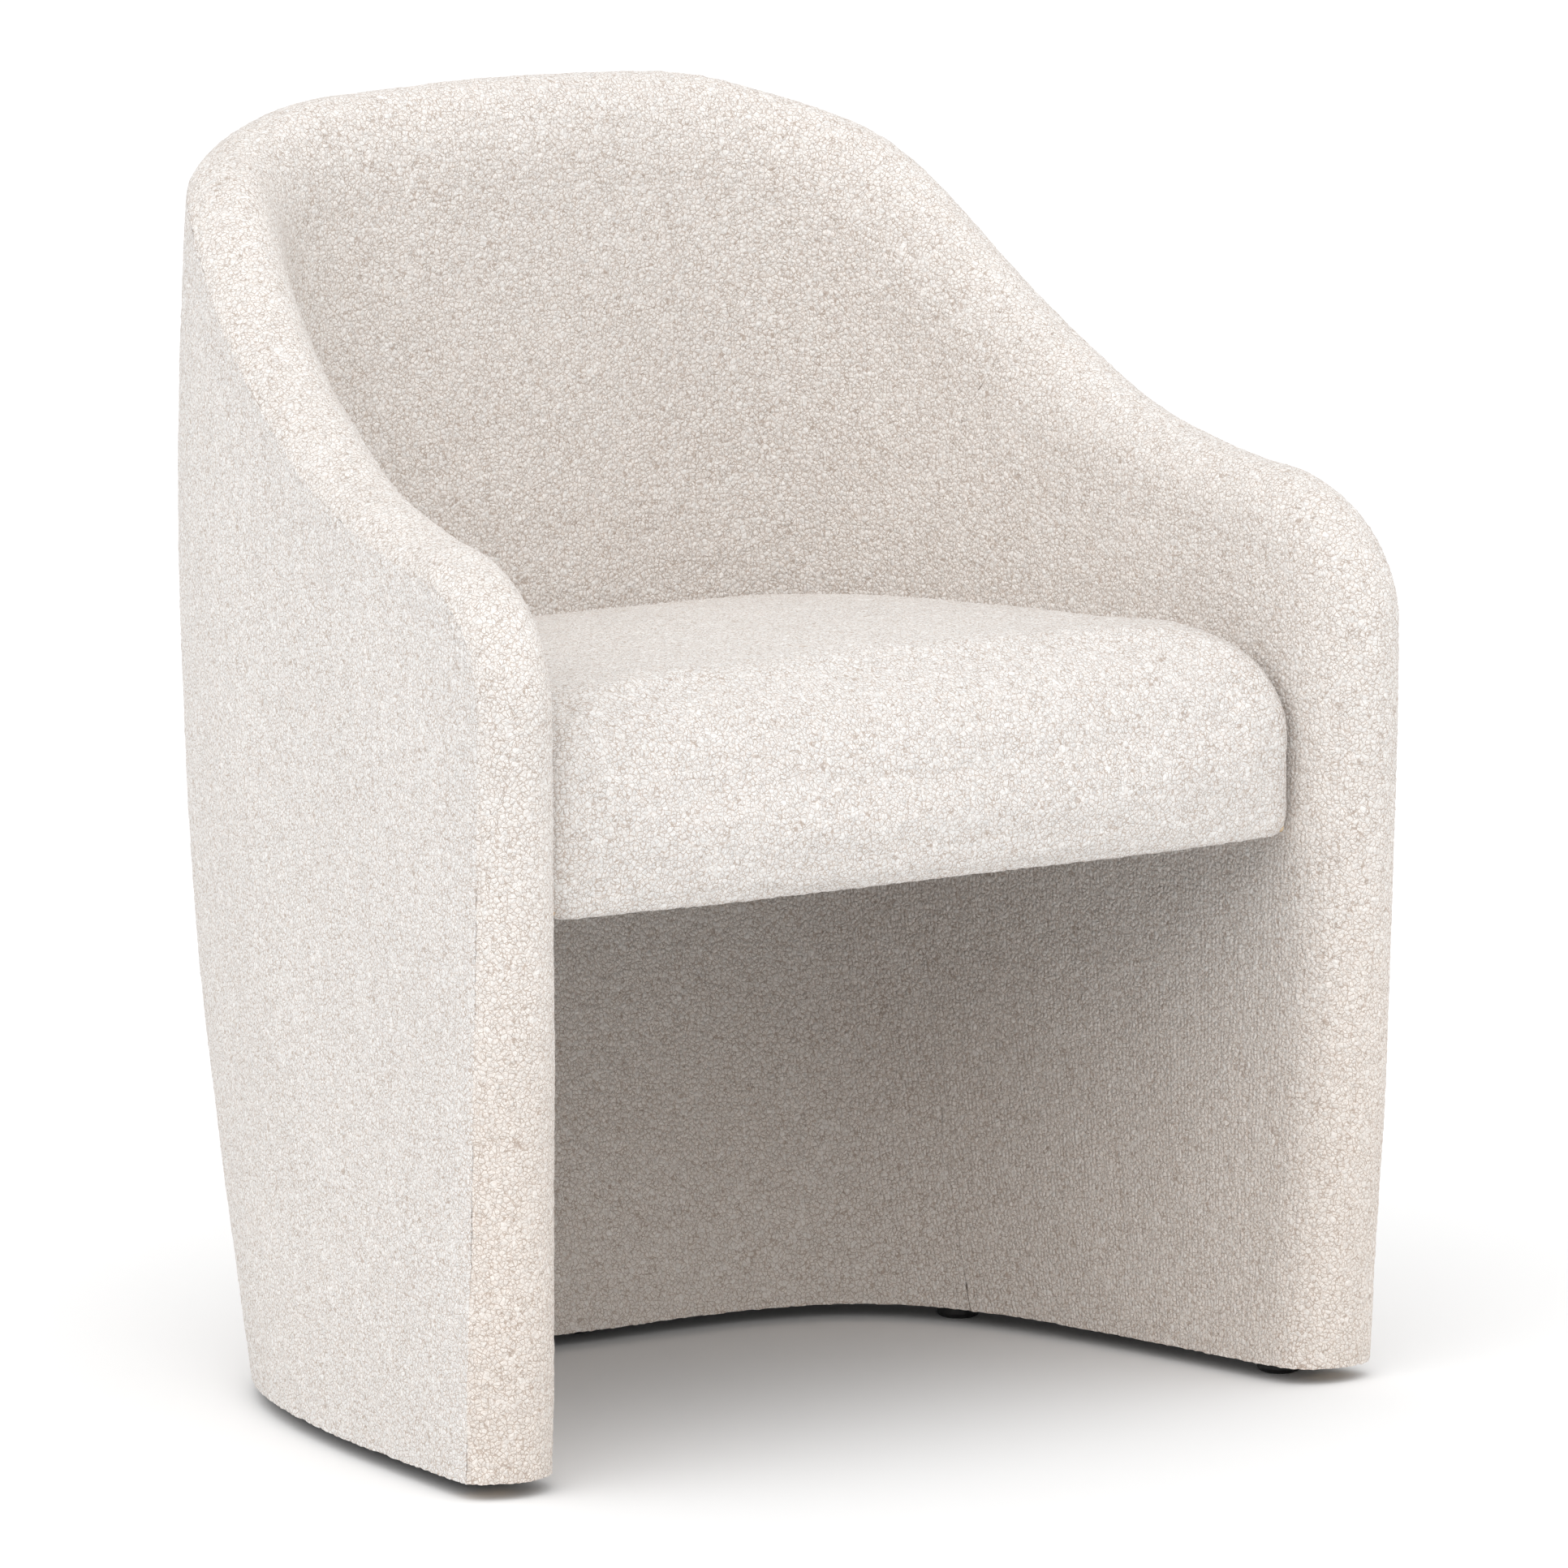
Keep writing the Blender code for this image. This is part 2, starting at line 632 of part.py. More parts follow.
def flat_bar(name, run, z0, z1, mat):
    """Flat-laid bar along the given places round the wall, between heights z0 and z1."""
    rings = []
    for a in run:
        corners = ((z0, False), (z0, True), (z1, True), (z1, False))
        rings.append([wall(a, z, across(a, z, inner)) for z, inner in corners])
    return loft(name, rings, mat, BAR_EASE)


def post(name, sign, s0, s1, z0, mat):
    """Upright bar between s0 and s1, from z0 up to the underside of the top rails."""
    middle = (s0 + s1) / 2
    under = RAIL_EDGE + RAIL_DEPTH + POST_ROOM
    rings = []
    for v in np.linspace(0.0, 1.0, POST_STEPS):
        ring = []
        for s, inner in ((s0, False), (s0, True), (middle, True), (s1, True), (s1, False), (middle, False)):
            z = z0 + v * (float(rail_under(s, under)) - z0)
            ring.append(wall(sign * (HALF - s), z, across(HALF - s, z, inner)))
        rings.append(ring)
    return loft(name, rings, mat)


def board_grid(run, foot):
    """Grid of a lining board's inner face, from foot height up to just below the rim's padding."""
    s = HALF - np.abs(run)
    v = np.linspace(0, 1, FIELD_ROWS)[:, None]
    z = foot + v * (rail_under(np.maximum(s, CORNER_R), RAIL_EDGE + 0.004) - foot)
    a = np.broadcast_to(run, z.shape)
    return wall(a, z, -(thickness(a, z) / 2 - BOARD_E))


def rail_under(s, d):
    """Height of the line that runs d below the crest, past the corner."""
    e = 0.002
    slope = (rim_z(np.minimum(s + e, HALF)) - rim_z(s - e)) / (2 * e)
    return rim_z(s) - d * np.sqrt(1 + slope * slope)


def round_back(start):
    """Places round the back from a distance start on the left to the same on the right."""
    run = HALF - stations(start, HALF)
    return np.concatenate([-run, run[::-1][1:]])


def build_frame():
    """Timber frame of the wall: plates, posts, top rails and the ledgers that carry the seat."""
    made = {}
    plate_top = PLATE_Z + PLATE_T
    foot = plate_top + GAP
    top_z = float(rim_z(CORNER_R)) - CORNER_R
    post_0 = REAR_POST - POST_W / 2
    post_1 = REAR_POST + POST_W / 2
    for side, sign in (("left", -1), ("right", 1)):
        run = sign * (HALF - stations(RAIL_EDGE, REAR_POST - GAP / 2))
        name = "base_plate_" + side
        made[name] = flat_bar(name, run, PLATE_Z, plate_top, material(name, PLYWOOD, 0.6))
        name = "front_post_" + side
        up = np.linspace(foot, top_z - GAP, FRONT_STEPS)
        made[name] = path_bar(name, np.zeros(FRONT_STEPS), up, sign, RAIL_EDGE, RAIL_EDGE + RAIL_DEPTH,
                              material(name, PLYWOOD, 0.6))
        name = "arm_rail_" + side
        turn = np.linspace(0.0, math.pi / 2, 2 * TURN_STEPS + 1)[:-1]
        run = stations(CORNER_R, REAR_POST)
        arm_s = np.concatenate([CORNER_R * (1 - np.cos(turn)), run])
        arm_z = np.concatenate([top_z + CORNER_R * np.sin(turn), rim_z(run)])
        made[name] = path_bar(name, arm_s, arm_z, sign, RAIL_EDGE, RAIL_EDGE + RAIL_DEPTH,
                              material(name, PLYWOOD, 0.6))
        name = "rear_post_" + side
        made[name] = post(name, sign, post_0, post_1, foot, material(name, PLYWOOD, 0.6))
        name = "ledger_" + side
        run = sign * (HALF - stations(RAIL_EDGE + RAIL_DEPTH + GAP, post_0 - GAP))
        made[name] = flat_bar(name, run, LEDGER_Z, LEDGER_Z + PLATE_T, material(name, PLYWOOD, 0.6))
    name = "base_plate_back"
    run = round_back(REAR_POST + GAP / 2)
    made[name] = flat_bar(name, run, PLATE_Z, plate_top, material(name, PLYWOOD, 0.6))
    name = "ledger_back"
    run = round_back(post_1 + GAP)
    made[name] = flat_bar(name, run, LEDGER_Z, LEDGER_Z + PLATE_T, material(name, PLYWOOD, 0.6))
    name = "back_top_rail"
    run = HALF - round_back(REAR_POST + GAP)[::-1]
    crest = rim_z(np.where(run > HALF, 2 * HALF - run, run))
    made[name] = path_bar(name, run, crest, 1, RAIL_EDGE, RAIL_EDGE + RAIL_DEPTH,
                          material(name, PLYWOOD, 0.6))
    return made


def build_linings():
    """Lining boards, foam pads, fabric covers and the cloth under the wall."""
    made = {}
    pad_z = PLATE_Z
    block = FOAM_E + FOAM_T
    for side, sign in (("left", -1), ("right", 1)):
        name = "arm_board_" + side
        run = sign * (HALF - stations(CORNER_R, REAR_POST - SOFT_GAP / 2))
        made[name] = shell(name, board_grid(run, BOARD_FOOT), BOARD_T, material(name, HARDBOARD, 0.7), True)
        name = "arm_foam_" + side
        made[name] = two_skin(name, arm_lining(sign, FOAM_E, SOFT_GAP, pad_z),
                              arm_lining(sign, block, SOFT_GAP, pad_z, block), material(name, FOAM, 0.9))
        name = "arm_cover_" + side
        made[name] = two_skin(name, arm_lining(sign, 0.0, GAP, COVER_Z),
                              arm_lining(sign, COVER_T, GAP, COVER_Z), material(name, WOOL, 0.95))
        name = "outside_arm_cover_" + side
        made[name] = shell(name, outer_field(sign), COVER_T, material(name, WOOL, 0.95), False)
    name = "back_board"
    made[name] = shell(name, board_grid(round_back(REAR_POST + SOFT_GAP / 2), BOARD_FOOT), BOARD_T,
                       material(name, HARDBOARD, 0.7), True)
    name = "back_foam"
    made[name] = two_skin(name, back_lining(FOAM_E, SOFT_GAP, pad_z),
                          back_lining(block, SOFT_GAP, pad_z, block), material(name, FOAM, 0.9))
    name = "back_cover"
    made[name] = two_skin(name, back_lining(0.0, GAP, COVER_Z), back_lining(COVER_T, GAP, COVER_Z),
                          material(name, WOOL, 0.95))
    name = "outside_back_cover"
    made[name] = shell(name, outside_back_grid(), COVER_T, material(name, WOOL, 0.95), False)
    name = "base_cloth"
    run = round_back(CREST_IN_R)
    rings = []
    for a in run:
        half = float(thickness(a, COVER_Z)) / 2 - OUT_STACK
        corners = ((COVER_Z, half), (COVER_Z, -half), (COVER_Z + CLOTH_T, -half), (COVER_Z + CLOTH_T, half))
        rings.append([wall(a, z, n) for z, n in corners])
    made[name] = loft(name, rings, material(name, BLACK, 0.9))
    return made


# ---- seat pieces -----------------------------------------------------------------------
def seat_side(s, z, inset):
    """Point of the seat's outline beside the wall, a given inset from it."""
    a = np.asarray(s, dtype=float)
    return wall(HALF - a, z, -thickness(HALF - a, z) / 2 - SEAT_CLEAR - inset)


def seat_outline(z, inset):
    """Closed outline of the seat at a height: right side, back, left side, then the bowed front."""
    near = stations(SEAT_SETBACK + inset, HALF)
    s = np.concatenate([near, (2 * HALF - near)[::-1][1:]])
    side = seat_side(s, z, inset)
    side[:, 0] = np.where(np.abs(side[:, 0]) < 1e-9, 0.0, side[:, 0])
    corner = side[0]
    u = np.linspace(-1, 1, FRONT_POINTS + 2)[1:-1]
    front = np.stack([u * corner[0], corner[1] - SEAT_BOW * (1 - u * u), np.full(len(u), z)], axis=-1)
    return np.concatenate([side, front]), len(side)


def seat_top_z(points):
    """Height of the seat's top edge, falling from the front to the back."""
    y = points[:, 1] - Y_SHIFT
    return SEAT_TOP_FRONT + (SEAT_TOP_BACK - SEAT_TOP_FRONT) * np.clip((y - 0.03) / 0.42, 0, 1)


def seat_rings(inset, low_z):
    """Rings of the seat's surface from the lower edge, up the sides and over the crown.

    Each ring is the outline drawn in towards the middle by r(1 - cos t) while it rises by
    drop * sin t; the front has the largest radius.  The last rings climb to the crown.
    """
    outline, sides = seat_outline(0.42, inset)
    count = len(outline)
    front = np.zeros(count)
    front[sides:] = 1.0
    for k in range(2):
        front[k] = (1.0, 0.35)[k]
        front[sides - 1 - k] = (1.0, 0.35)[k]
    r = SEAT_SIDE_R + (SEAT_FRONT_R - SEAT_SIDE_R) * front
    drop = SEAT_SIDE_DROP + (SEAT_FRONT_DROP - SEAT_SIDE_DROP) * front
    middle = np.array([0.0, SEAT_MIDDLE_Y + Y_SHIFT])
    top = seat_top_z(outline) - inset
    rings = [seat_outline(low_z, inset)[0]]
    lower = top - drop
    for v in (0.5, 1.0):
        z = low_z + (lower - low_z) * v
        base = seat_outline(low_z, inset)[0]
        high = outline
        share = (z - low_z) / (0.42 - low_z)
        ring = base + (high - base) * share[:, None]
        ring[:, 2] = z
        rings.append(ring)
    edge = rings[-1]
    reach = np.linalg.norm(edge[:, :2] - middle, axis=1)
    for turn in (30.0, 60.0, 90.0):
        t = math.radians(turn)
        draw = r * (1 - math.cos(t)) / reach
        ring = edge.copy()
        ring[:, :2] += (middle - edge[:, :2]) * draw[:, None]
        ring[:, 2] = lower + drop * math.sin(t)
        rings.append(ring)
    last = rings[-1]
    centre_z = float(seat_top_z(np.array([[0.0, SEAT_MIDDLE_Y + Y_SHIFT, 0.0]]))[0]) + SEAT_CROWN - inset
    for v in (0.35, 0.7):
        ring = last.copy()
        ring[:, :2] += (middle - last[:, :2]) * v
        ring[:, 2] = last[:, 2] + (centre_z - last[:, 2]) * (1 - (1 - v) ** 2)
        rings.append(ring)
    return np.stack(rings), np.array([middle[0], middle[1], centre_z])


def ring_faces(rings, count, offset, pole):
    """Faces of a stack of closed rings closed at the top by a fan to the pole point."""
    faces = []
    for i in range(rings - 1):
        for j in range(count):
            k = (j + 1) % count
            p = offset + i * count
            faces.append((p + j, p + k, p + count + k))
            faces.append((p + j, p + count + k, p + count + j))
    last = offset + (rings - 1) * count
    for j in range(count):
        faces.append((last + j, last + (j + 1) % count, pole))
    return faces


def build_seat():
    """Seat: rails, corner blocks, webbing, foam, cover and the cloth below."""
    made = {}
    outer, top = seat_rings(0.0, SEAT_Z)
    inner, inner_top = seat_rings(COVER_T, SEAT_Z)
    rings, count = outer.shape[:2]
    total = rings * count
    faces = ring_faces(rings, count, 0, 2 * total)
    faces += [f[::-1] for f in ring_faces(rings, count, total, 2 * total + 1)]
    for j in range(count):
        k = (j + 1) % count
        faces.append((k, j, total + j, total + k))
    points = np.concatenate([outer.reshape(-1, 3), inner.reshape(-1, 3), [top, inner_top]])
    name = "seat_cover"
    made[name] = mesh_object(name, points, faces, material(name, WOOL, 0.95))
    skin, peak = seat_rings(FOAM_E, SEAT_FOAM_Z)
    rings, count = skin.shape[:2]
    faces = ring_faces(rings, count, 0, rings * count)
    faces.append(tuple(range(count))[::-1])
    name = "seat_foam"
    points = np.concatenate([skin.reshape(-1, 3), [peak]])
    made[name] = mesh_object(name, points, faces, material(name, FOAM, 0.9))

    outline, _ = seat_outline(SEAT_Z + GAP, SEAT_INSET)
    upper = outline.copy()
    upper[:, 2] += CLOTH_T
    name = "seat_bottom_cloth"
    made[name] = loft(name, np.stack([outline, upper]), material(name, BLACK, 0.9))

    z0 = SEAT_RAIL_Z
    z1 = SEAT_RAIL_Z + SEAT_RAIL_H
    front_y = float(seat_side(SEAT_SETBACK + SEAT_INSET, z0, SEAT_INSET)[1]) + RAIL_BACK
    back_y = front_y + SEAT_RAIL_W
    rings = []
    for x_sign in (-1, 1):
        ring = []
        for y, z in ((front_y, z0), (back_y, z0), (back_y, z1), (front_y, z1)):
            ring.append((x_sign * room_x(y, z, SEAT_INSET), y, z))
        rings.append(ring)
    name = "seat_rail_front"
    made[name] = loft(name, rings, material(name, PLYWOOD, 0.6), BAR_EASE)
    start = room_s(back_y + RAIL_ROOM, z0)
    for side, sign in (("left", -1), ("right", 1)):
        name = "seat_rail_" + side
        run = stations(start, SEAT_JOINT - GAP / 2)
        made[name] = seat_bar(name, sign, run, z0, z1, SEAT_INSET, SEAT_INSET + SEAT_RAIL_W, PLYWOOD)
        name = "seat_joint_block_" + side
        run = stations(SEAT_JOINT - JOINT_BLOCK / 2, SEAT_JOINT + JOINT_BLOCK / 2)
        inset = SEAT_INSET + SEAT_RAIL_W + SOFT_GAP
        made[name] = seat_bar(name, sign, run, z0 + BLOCK_DROP, z1 - BLOCK_DROP, inset, inset + BLOCK_W,
                              PLYWOOD)
        name = "seat_corner_block_" + side
        rings = []
        for z in (z0 + BLOCK_DROP, z1 - BLOCK_DROP):
            y = back_y + GAP
            inset = SEAT_INSET + SEAT_RAIL_W + SOFT_GAP
            x_low = room_x(y, z, inset)
            x_high = room_x(y + CORNER_BLOCK, z, inset) - SOFT_GAP
            far = y + CORNER_BLOCK
            rings.append([(sign * x_low, y, z), (sign * (x_low - CORNER_BLOCK), y, z),
                          (sign * (x_high - BLOCK_TOE), far, z), (sign * x_high, far, z)])
        made[name] = loft(name, rings, material(name, PLYWOOD, 0.6))
    name = "seat_rail_back"
    near = stations(SEAT_JOINT + GAP / 2, HALF)
    run = np.concatenate([near, (2 * HALF - near)[::-1][1:]])
    made[name] = seat_bar(name, 1, run, z0, z1, SEAT_INSET, SEAT_INSET + SEAT_RAIL_W, PLYWOOD)
    for i, x in enumerate(STRAP_X):
        name = "seat_strap_%d" % (i + 1)
        z = z1 + GAP
        ends = []
        for side_x in (x - STRAP_W / 2, x + STRAP_W / 2):
            ends.append((side_x, room_y(side_x, z, SEAT_INSET + STRAP_BACK)))
        rings = []
        for v in (0.0, 0.5, 1.0):
            ring = []
            for (px, far), dz in ((ends[0], 0), (ends[1], 0), (ends[1], STRAP_T), (ends[0], STRAP_T)):
                near = front_y + STRAP_FRONT
                ring.append((px, near + (far - near) * v, z + dz))
            rings.append(ring)
        made[name] = loft(name, rings, material(name, BLACK, 0.8))
    return made


def seat_bar(name, sign, run, z0, z1, near, far, color):
    """Bar along the seat's outline between two insets from the wall."""
    rings = []
    for s in run:
        ring = []
        for z, inset in ((z0, near), (z0, far), (z1, far), (z1, near)):
            p = seat_side(s, z, inset)
            ring.append((sign * p[0], p[1], p[2]))
        rings.append(ring)
    return loft(name, rings, material(name, color, 0.6))


def room_table(z, inset):
    """Dense right-hand half of the seat's outline at a height, as s, x and y."""
    s = np.linspace(0.0, HALF, 600)
    p = seat_side(s, z, inset)
    return s, p[:, 0], p[:, 1]


def room_x(y, z, inset):
    """Half width of the seat's outline at a world y, ahead of its widest turn."""
    s, xs, ys = room_table(z, inset)
    keep = slice(0, int(np.argmax(ys > y)) + 1)
    return float(np.interp(y, ys[keep], xs[keep]))


def room_s(y, z):
    """Distance from the front edge at which the seat's outline passes a world y."""
    s, _, ys = room_table(z, SEAT_INSET)
    return float(np.interp(y, ys[:300], s[:300]))


def room_y(x, z, inset):
    """World y of the back of the seat's outline at a given x."""
    _, xs, ys = room_table(z, inset)
    order = np.argsort(xs[300:])
    return float(np.interp(abs(x), xs[300:][order], ys[300:][order]))


# ---- fastenings and glides -------------------------------------------------------------
def build_small(made):
    """Glides with their nails, and the bolts that hold the seat, with clearance holes for both."""
    glide_profile = [(0.0, GLIDE_H), (GLIDE_R - 0.002, GLIDE_H), (GLIDE_R - 0.0005, GLIDE_H - 0.001),
                     (GLIDE_R, GLIDE_H - 0.003), (GLIDE_R, 0.003), (GLIDE_R - 0.0012, 0.0010),
                     (GLIDE_R - 0.003, 0.0), (0.0, 0.0)]
    nail_profile = [(0.0, NAIL_TOP), (NAIL_R * 0.4, NAIL_TOP - 0.001), (NAIL_R, NAIL_TOP - 0.005),
                    (NAIL_R, GLIDE_H + GAP), (0.0, GLIDE_H + GAP)]
    places = [("front_left", -1, GLIDE_FRONT), ("front_right", 1, GLIDE_FRONT),
              ("side_left", -1, GLIDE_SIDE), ("side_right", 1, GLIDE_SIDE), ("back", 1, (HALF, 0.0))]
    plates = [made["base_cloth"], made["base_plate_left"], made["base_plate_right"], made["base_plate_back"]]
    cutters = []
    for label, sign, (s, n) in places:
        x, y, _ = wall(sign * (HALF - s), 0.0, n)
        name = "glide_" + label
        made[name] = move(turned(name, glide_profile, 20, material(name, BLACK, 0.45)), x, y, 0.0)
        name = "glide_nail_" + label
        made[name] = move(turned(name, nail_profile, 8, material(name, STEEL, 0.35, 1.0)), x, y, 0.0)
        cutters.append(hole_cutter("nail hole " + label, (x, y, 0.0), (x, y, PLATE_Z + PLATE_T + CUT_PAST),
                                   NAIL_R + HOLE_CLEAR))
    for plate in plates:
        drill(plate, [c for c in cutters if near_enough(c, plate)])
    for side, sign in (("left", -1), ("right", 1)):
        cutters = []
        for number, s in enumerate(BOLT_PLACES, 1):
            start = seat_side(s, BOLT_Z, SEAT_INSET + SEAT_RAIL_W + BOLT_SEAT)
            y = float(start[1])
            reach = bolt_reach(y)
            name = "seat_bolt_%s_%d" % (side, number)
            size = reach - float(start[0])
            profile = [(0.0, BOLT_HEAD_H), (BOLT_HEAD_R - 0.001, BOLT_HEAD_H),
                       (BOLT_HEAD_R, BOLT_HEAD_H - 0.001), (BOLT_HEAD_R, 0.0), (BOLT_R, 0.0),
                       (BOLT_R, 0.001 - size), (BOLT_R * 0.6, -size), (0.0, -size)]
            bolt = turned(name, profile, 12, material(name, STEEL, 0.35, 1.0))
            made[name] = move(bolt, sign * (float(start[0]) - BOLT_BACK), y, BOLT_Z, -sign * math.pi / 2)
            head_x = float(start[0]) - BOLT_BACK
            near = (sign * (head_x - CUT_PAST), y, BOLT_Z)
            far = (sign * (reach + BOLT_TIP_ROOM), y, BOLT_Z)
            cutters.append(hole_cutter("bolt hole %s %d" % (side, number), near, far, BOLT_R + HOLE_CLEAR))
        for name in ("seat_rail_" + side, "seat_cover", "arm_cover_" + side, "arm_foam_" + side,
                     "arm_board_" + side, "ledger_" + side):
            drill(made[name], cutters)


def near_enough(cutter, target):
    """Whether two objects' boxes meet."""
    a = np.array([v.co for v in cutter.data.vertices])
    b = np.array([v.co for v in target.data.vertices])
    return bool(np.all(a.min(axis=0) < b.max(axis=0)) and np.all(b.min(axis=0) < a.max(axis=0)))


def bolt_reach(y):
    """World x at which a bolt at y ends, inside the ledger and short of its outer face."""
    s = np.linspace(0.0, HALF, 600)
    p = wall(HALF - s, BOLT_Z, thickness(HALF - s, BOLT_Z) / 2 - OUT_STACK)
    keep = slice(0, int(np.argmax(p[:, 1] > y)) + 1)
    return float(np.interp(y, p[keep, 1], p[keep, 0])) - BOLT_SHORT


def main():
    """Build the whole chair."""
    for obj in list(bpy.data.objects):
        bpy.data.objects.remove(obj, do_unlink=True)
    made = build_frame()
    made.update(build_linings())
    made.update(build_seat())
    build_small(made)


main()
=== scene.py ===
"""Barrel armchair: its fabric panels, seat pad, cloths and finishes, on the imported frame.

Wall coordinates, shared with the frame:
  s  distance round the wall from its front edge; HALF is the middle of the back
  z  height above the floor
  n  horizontal distance from the wall's middle surface, outward positive
  e  how far a point lies below the finished face
The chair faces -Y and is symmetric about X = 0.
"""

import json
import math

import bmesh
import bpy
import numpy as np
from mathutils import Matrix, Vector


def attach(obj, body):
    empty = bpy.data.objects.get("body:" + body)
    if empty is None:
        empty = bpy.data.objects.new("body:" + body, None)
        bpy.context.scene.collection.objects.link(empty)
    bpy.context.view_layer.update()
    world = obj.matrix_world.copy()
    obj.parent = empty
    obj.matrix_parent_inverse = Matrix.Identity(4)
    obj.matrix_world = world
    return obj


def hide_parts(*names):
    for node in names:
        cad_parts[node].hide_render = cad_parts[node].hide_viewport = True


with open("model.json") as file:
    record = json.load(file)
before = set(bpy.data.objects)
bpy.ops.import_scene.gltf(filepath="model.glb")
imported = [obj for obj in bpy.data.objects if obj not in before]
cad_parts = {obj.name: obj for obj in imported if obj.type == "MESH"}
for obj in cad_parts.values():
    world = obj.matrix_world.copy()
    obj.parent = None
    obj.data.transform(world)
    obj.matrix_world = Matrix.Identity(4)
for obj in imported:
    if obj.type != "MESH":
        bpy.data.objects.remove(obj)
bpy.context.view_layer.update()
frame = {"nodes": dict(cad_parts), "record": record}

# ---- the wall's shape, as in the frame ---------------------------------------------------
FLOOR_CURVE = ((0.306, 0.0), (0.2745, 0.353), (0.234, 0.409), (0.0, 0.409))
SHOULDER_CURVE = ((0.314, -0.0254), (0.252, 0.505), (0.2500, 0.494), (0.0, 0.494))
SHOULDER_Z = 0.795
FLARE = -0.946
WALL_FRONT = (0.0647, 0.0480)
WALL_BACK = (0.1050, 0.0680)
RIM_HEIGHT = (0.566, 0.569, 0.594, 0.656, 0.748, 0.787, 0.792)
RIM_SHARE = (0.0, 0.14, 0.28, 0.42, 0.58, 0.78, 1.0)
RIM_SMOOTH = 0.022
CORNER_R = 0.092
CREST_OUT_R = 0.020
CREST_IN_R = 0.036
COVER_Z = 0.0100
Y_SHIFT = -0.2578
SEAM_DROP = 0.016
FIELD_D = 0.070
CREST_SOFT_R = 0.056    # rounding of the rim on its inner side, round the back
SOFT_FROM = 0.12        # the rounding grows between these distances from the front edge
SOFT_TO = 0.40
OUTER_SEAM = 0.475
SEAM_LINE = ((0.0, 0.352), (0.21, 0.342), (0.37, 0.333), (0.48, 0.316), (0.58, 0.285), (0.70, 0.250))
TABLE_N = 1200
TANGENT_STEP = 0.0015   # half distance between the two points that give the wall's direction
TURN_ROWS = 17          # rows round the arm's top front corner

# ---- the seat ----------------------------------------------------------------------------
SEAT_Z = 0.347
SEAT_TOP_FRONT = 0.472
SEAT_TOP_BACK = 0.449
SEAT_TOP_FROM = 0.03    # the top edge falls from this depth, before the shift, over SEAT_TOP_RUN
SEAT_TOP_RUN = 0.42
SEAT_CROWN = 0.012
SEAT_SETBACK = 0.033
SEAT_BOW = 0.010
SEAT_CLEAR = 0.0026
SEAT_SIDE_R = 0.026
SEAT_SIDE_DROP = 0.020
SEAT_FRONT_R = 0.055
SEAT_FRONT_DROP = 0.060
SEAT_HEM_DRAW = 0.009   # rounding of the lower front edge: how far in, and how far up
SEAT_HEM_RISE = 0.018
SEAT_HEM_SIDE = 0.003
SEAT_MIDDLE_Y = 0.220
SEAT_CORNER = 0.016     # half width of the averaging that rounds the outline's corners
SEAT_TURN = 0.445       # distance round the wall of the seat's back corners
SEAT_HIGH = 0.42        # height of the outline that the seat's sides lean towards
PUFF_PRESSURE = 4.0
PUFF_FRAMES = 20
PUFF_REACH = 0.0065     # furthest that swelling may move the seat's fabric, with PUFF_LEAST
PUFF_LEAST = 0.0005
PUFF_HELD = 0.004       # the fabric is held fast up to this height above the seat's underside
PUFF_FROM = 0.05        # height above the underside at which it is quite free
PUFF_FRONT_Y = -0.19    # the front, which is free, starts here and is full PUFF_FRONT_RUN further on
PUFF_FRONT_RUN = 0.03
SEAT_SIZE = (0.50, 0.40)    # width and depth that the cage's spacing is counted on
SEAT_STEP = 0.001       # spacing of the outline's own points
SEAT_FRONT_RUN = 0.045  # distance over which the front's rounding turns into the sides'

# ---- fabric ------------------------------------------------------------------------------
CELL = 0.0095           # spacing of the panels' cages, before two subdivisions
BACK_CELL = 0.0108      # the same for the inside back
SEAT_CELL = 0.0052      # spacing of the seat's cage, before one subdivision
EDGE = 0.0014           # spacing of the rows that keep a folded edge tight
FOLD = 0.0055           # how far a panel's edge is folded in at a seam
TUCK = 0.0014           # how far a folded edge passes under its neighbour at a seam
TUCK_ROWS = (1.0, 0.5, 0.2, 0.0)
LOOP = 0.0037           # size of the fabric's raised loops
YARN_LOOP = 0.0030      # size of the loops that its colour and fine relief show
SMALL_LOOP = 0.0018     # size of the smaller loops among them
ROW = 0.0030            # spacing of the knit's rows
LOOP_RISE = 0.0009
CLUMP_RISE = 0.0007
CLUMP_SIZES = (0.011, 0.031)
SLOW_RISE = 0.0007      # a slow unevenness of the padding under the fabric
SLOW_SIZE = 0.085
SEED = 11
UP = Vector((0.0, 0.0, 1.0))
BACKWARD = Vector((0.0, 1.0, 0.0))

# ---- cloth sheets ------------------------------------------------------------------------
SHEET_T = 0.0006
SHEET_CELL = 0.006
SEAT_SHEET_Z = 0.3474
SEAT_SHEET_INSET = 0.0125
SEAT_SHEET_SAG = 0.0018     # how far the seat's cloth hangs in the middle
BASE_SHEET_Z = 0.0104
BASE_SHEET_EDGE = 0.0052    # its distance from the wall's faces
BASE_RIPPLE = 0.0003
BASE_RIPPLE_LENGTH = 0.07
BASE_ROWS = 11          # points across the band

# ---- stage -------------------------------------------------------------------------------
FLOOR_REACH = 60.0
WORLD_STRENGTH = 0.76
KEY_STRENGTH = 1.45
FILL_STRENGTH = 0.50
FILL_FROM = (0.75, -0.40, 0.45)
KEY_ANGLE = 75.0        # degrees across, for soft edges to the shadow
KEY_FROM = (-0.60, -0.43, 1.00)
LENS = 341.1
SENSOR = 36.0
CLIP_END = 200.0
CAMERA_TARGET = (0.1011, 0.0602, 0.3545)
CAMERA_AT = (-5.1000, -7.5610, 1.8731)


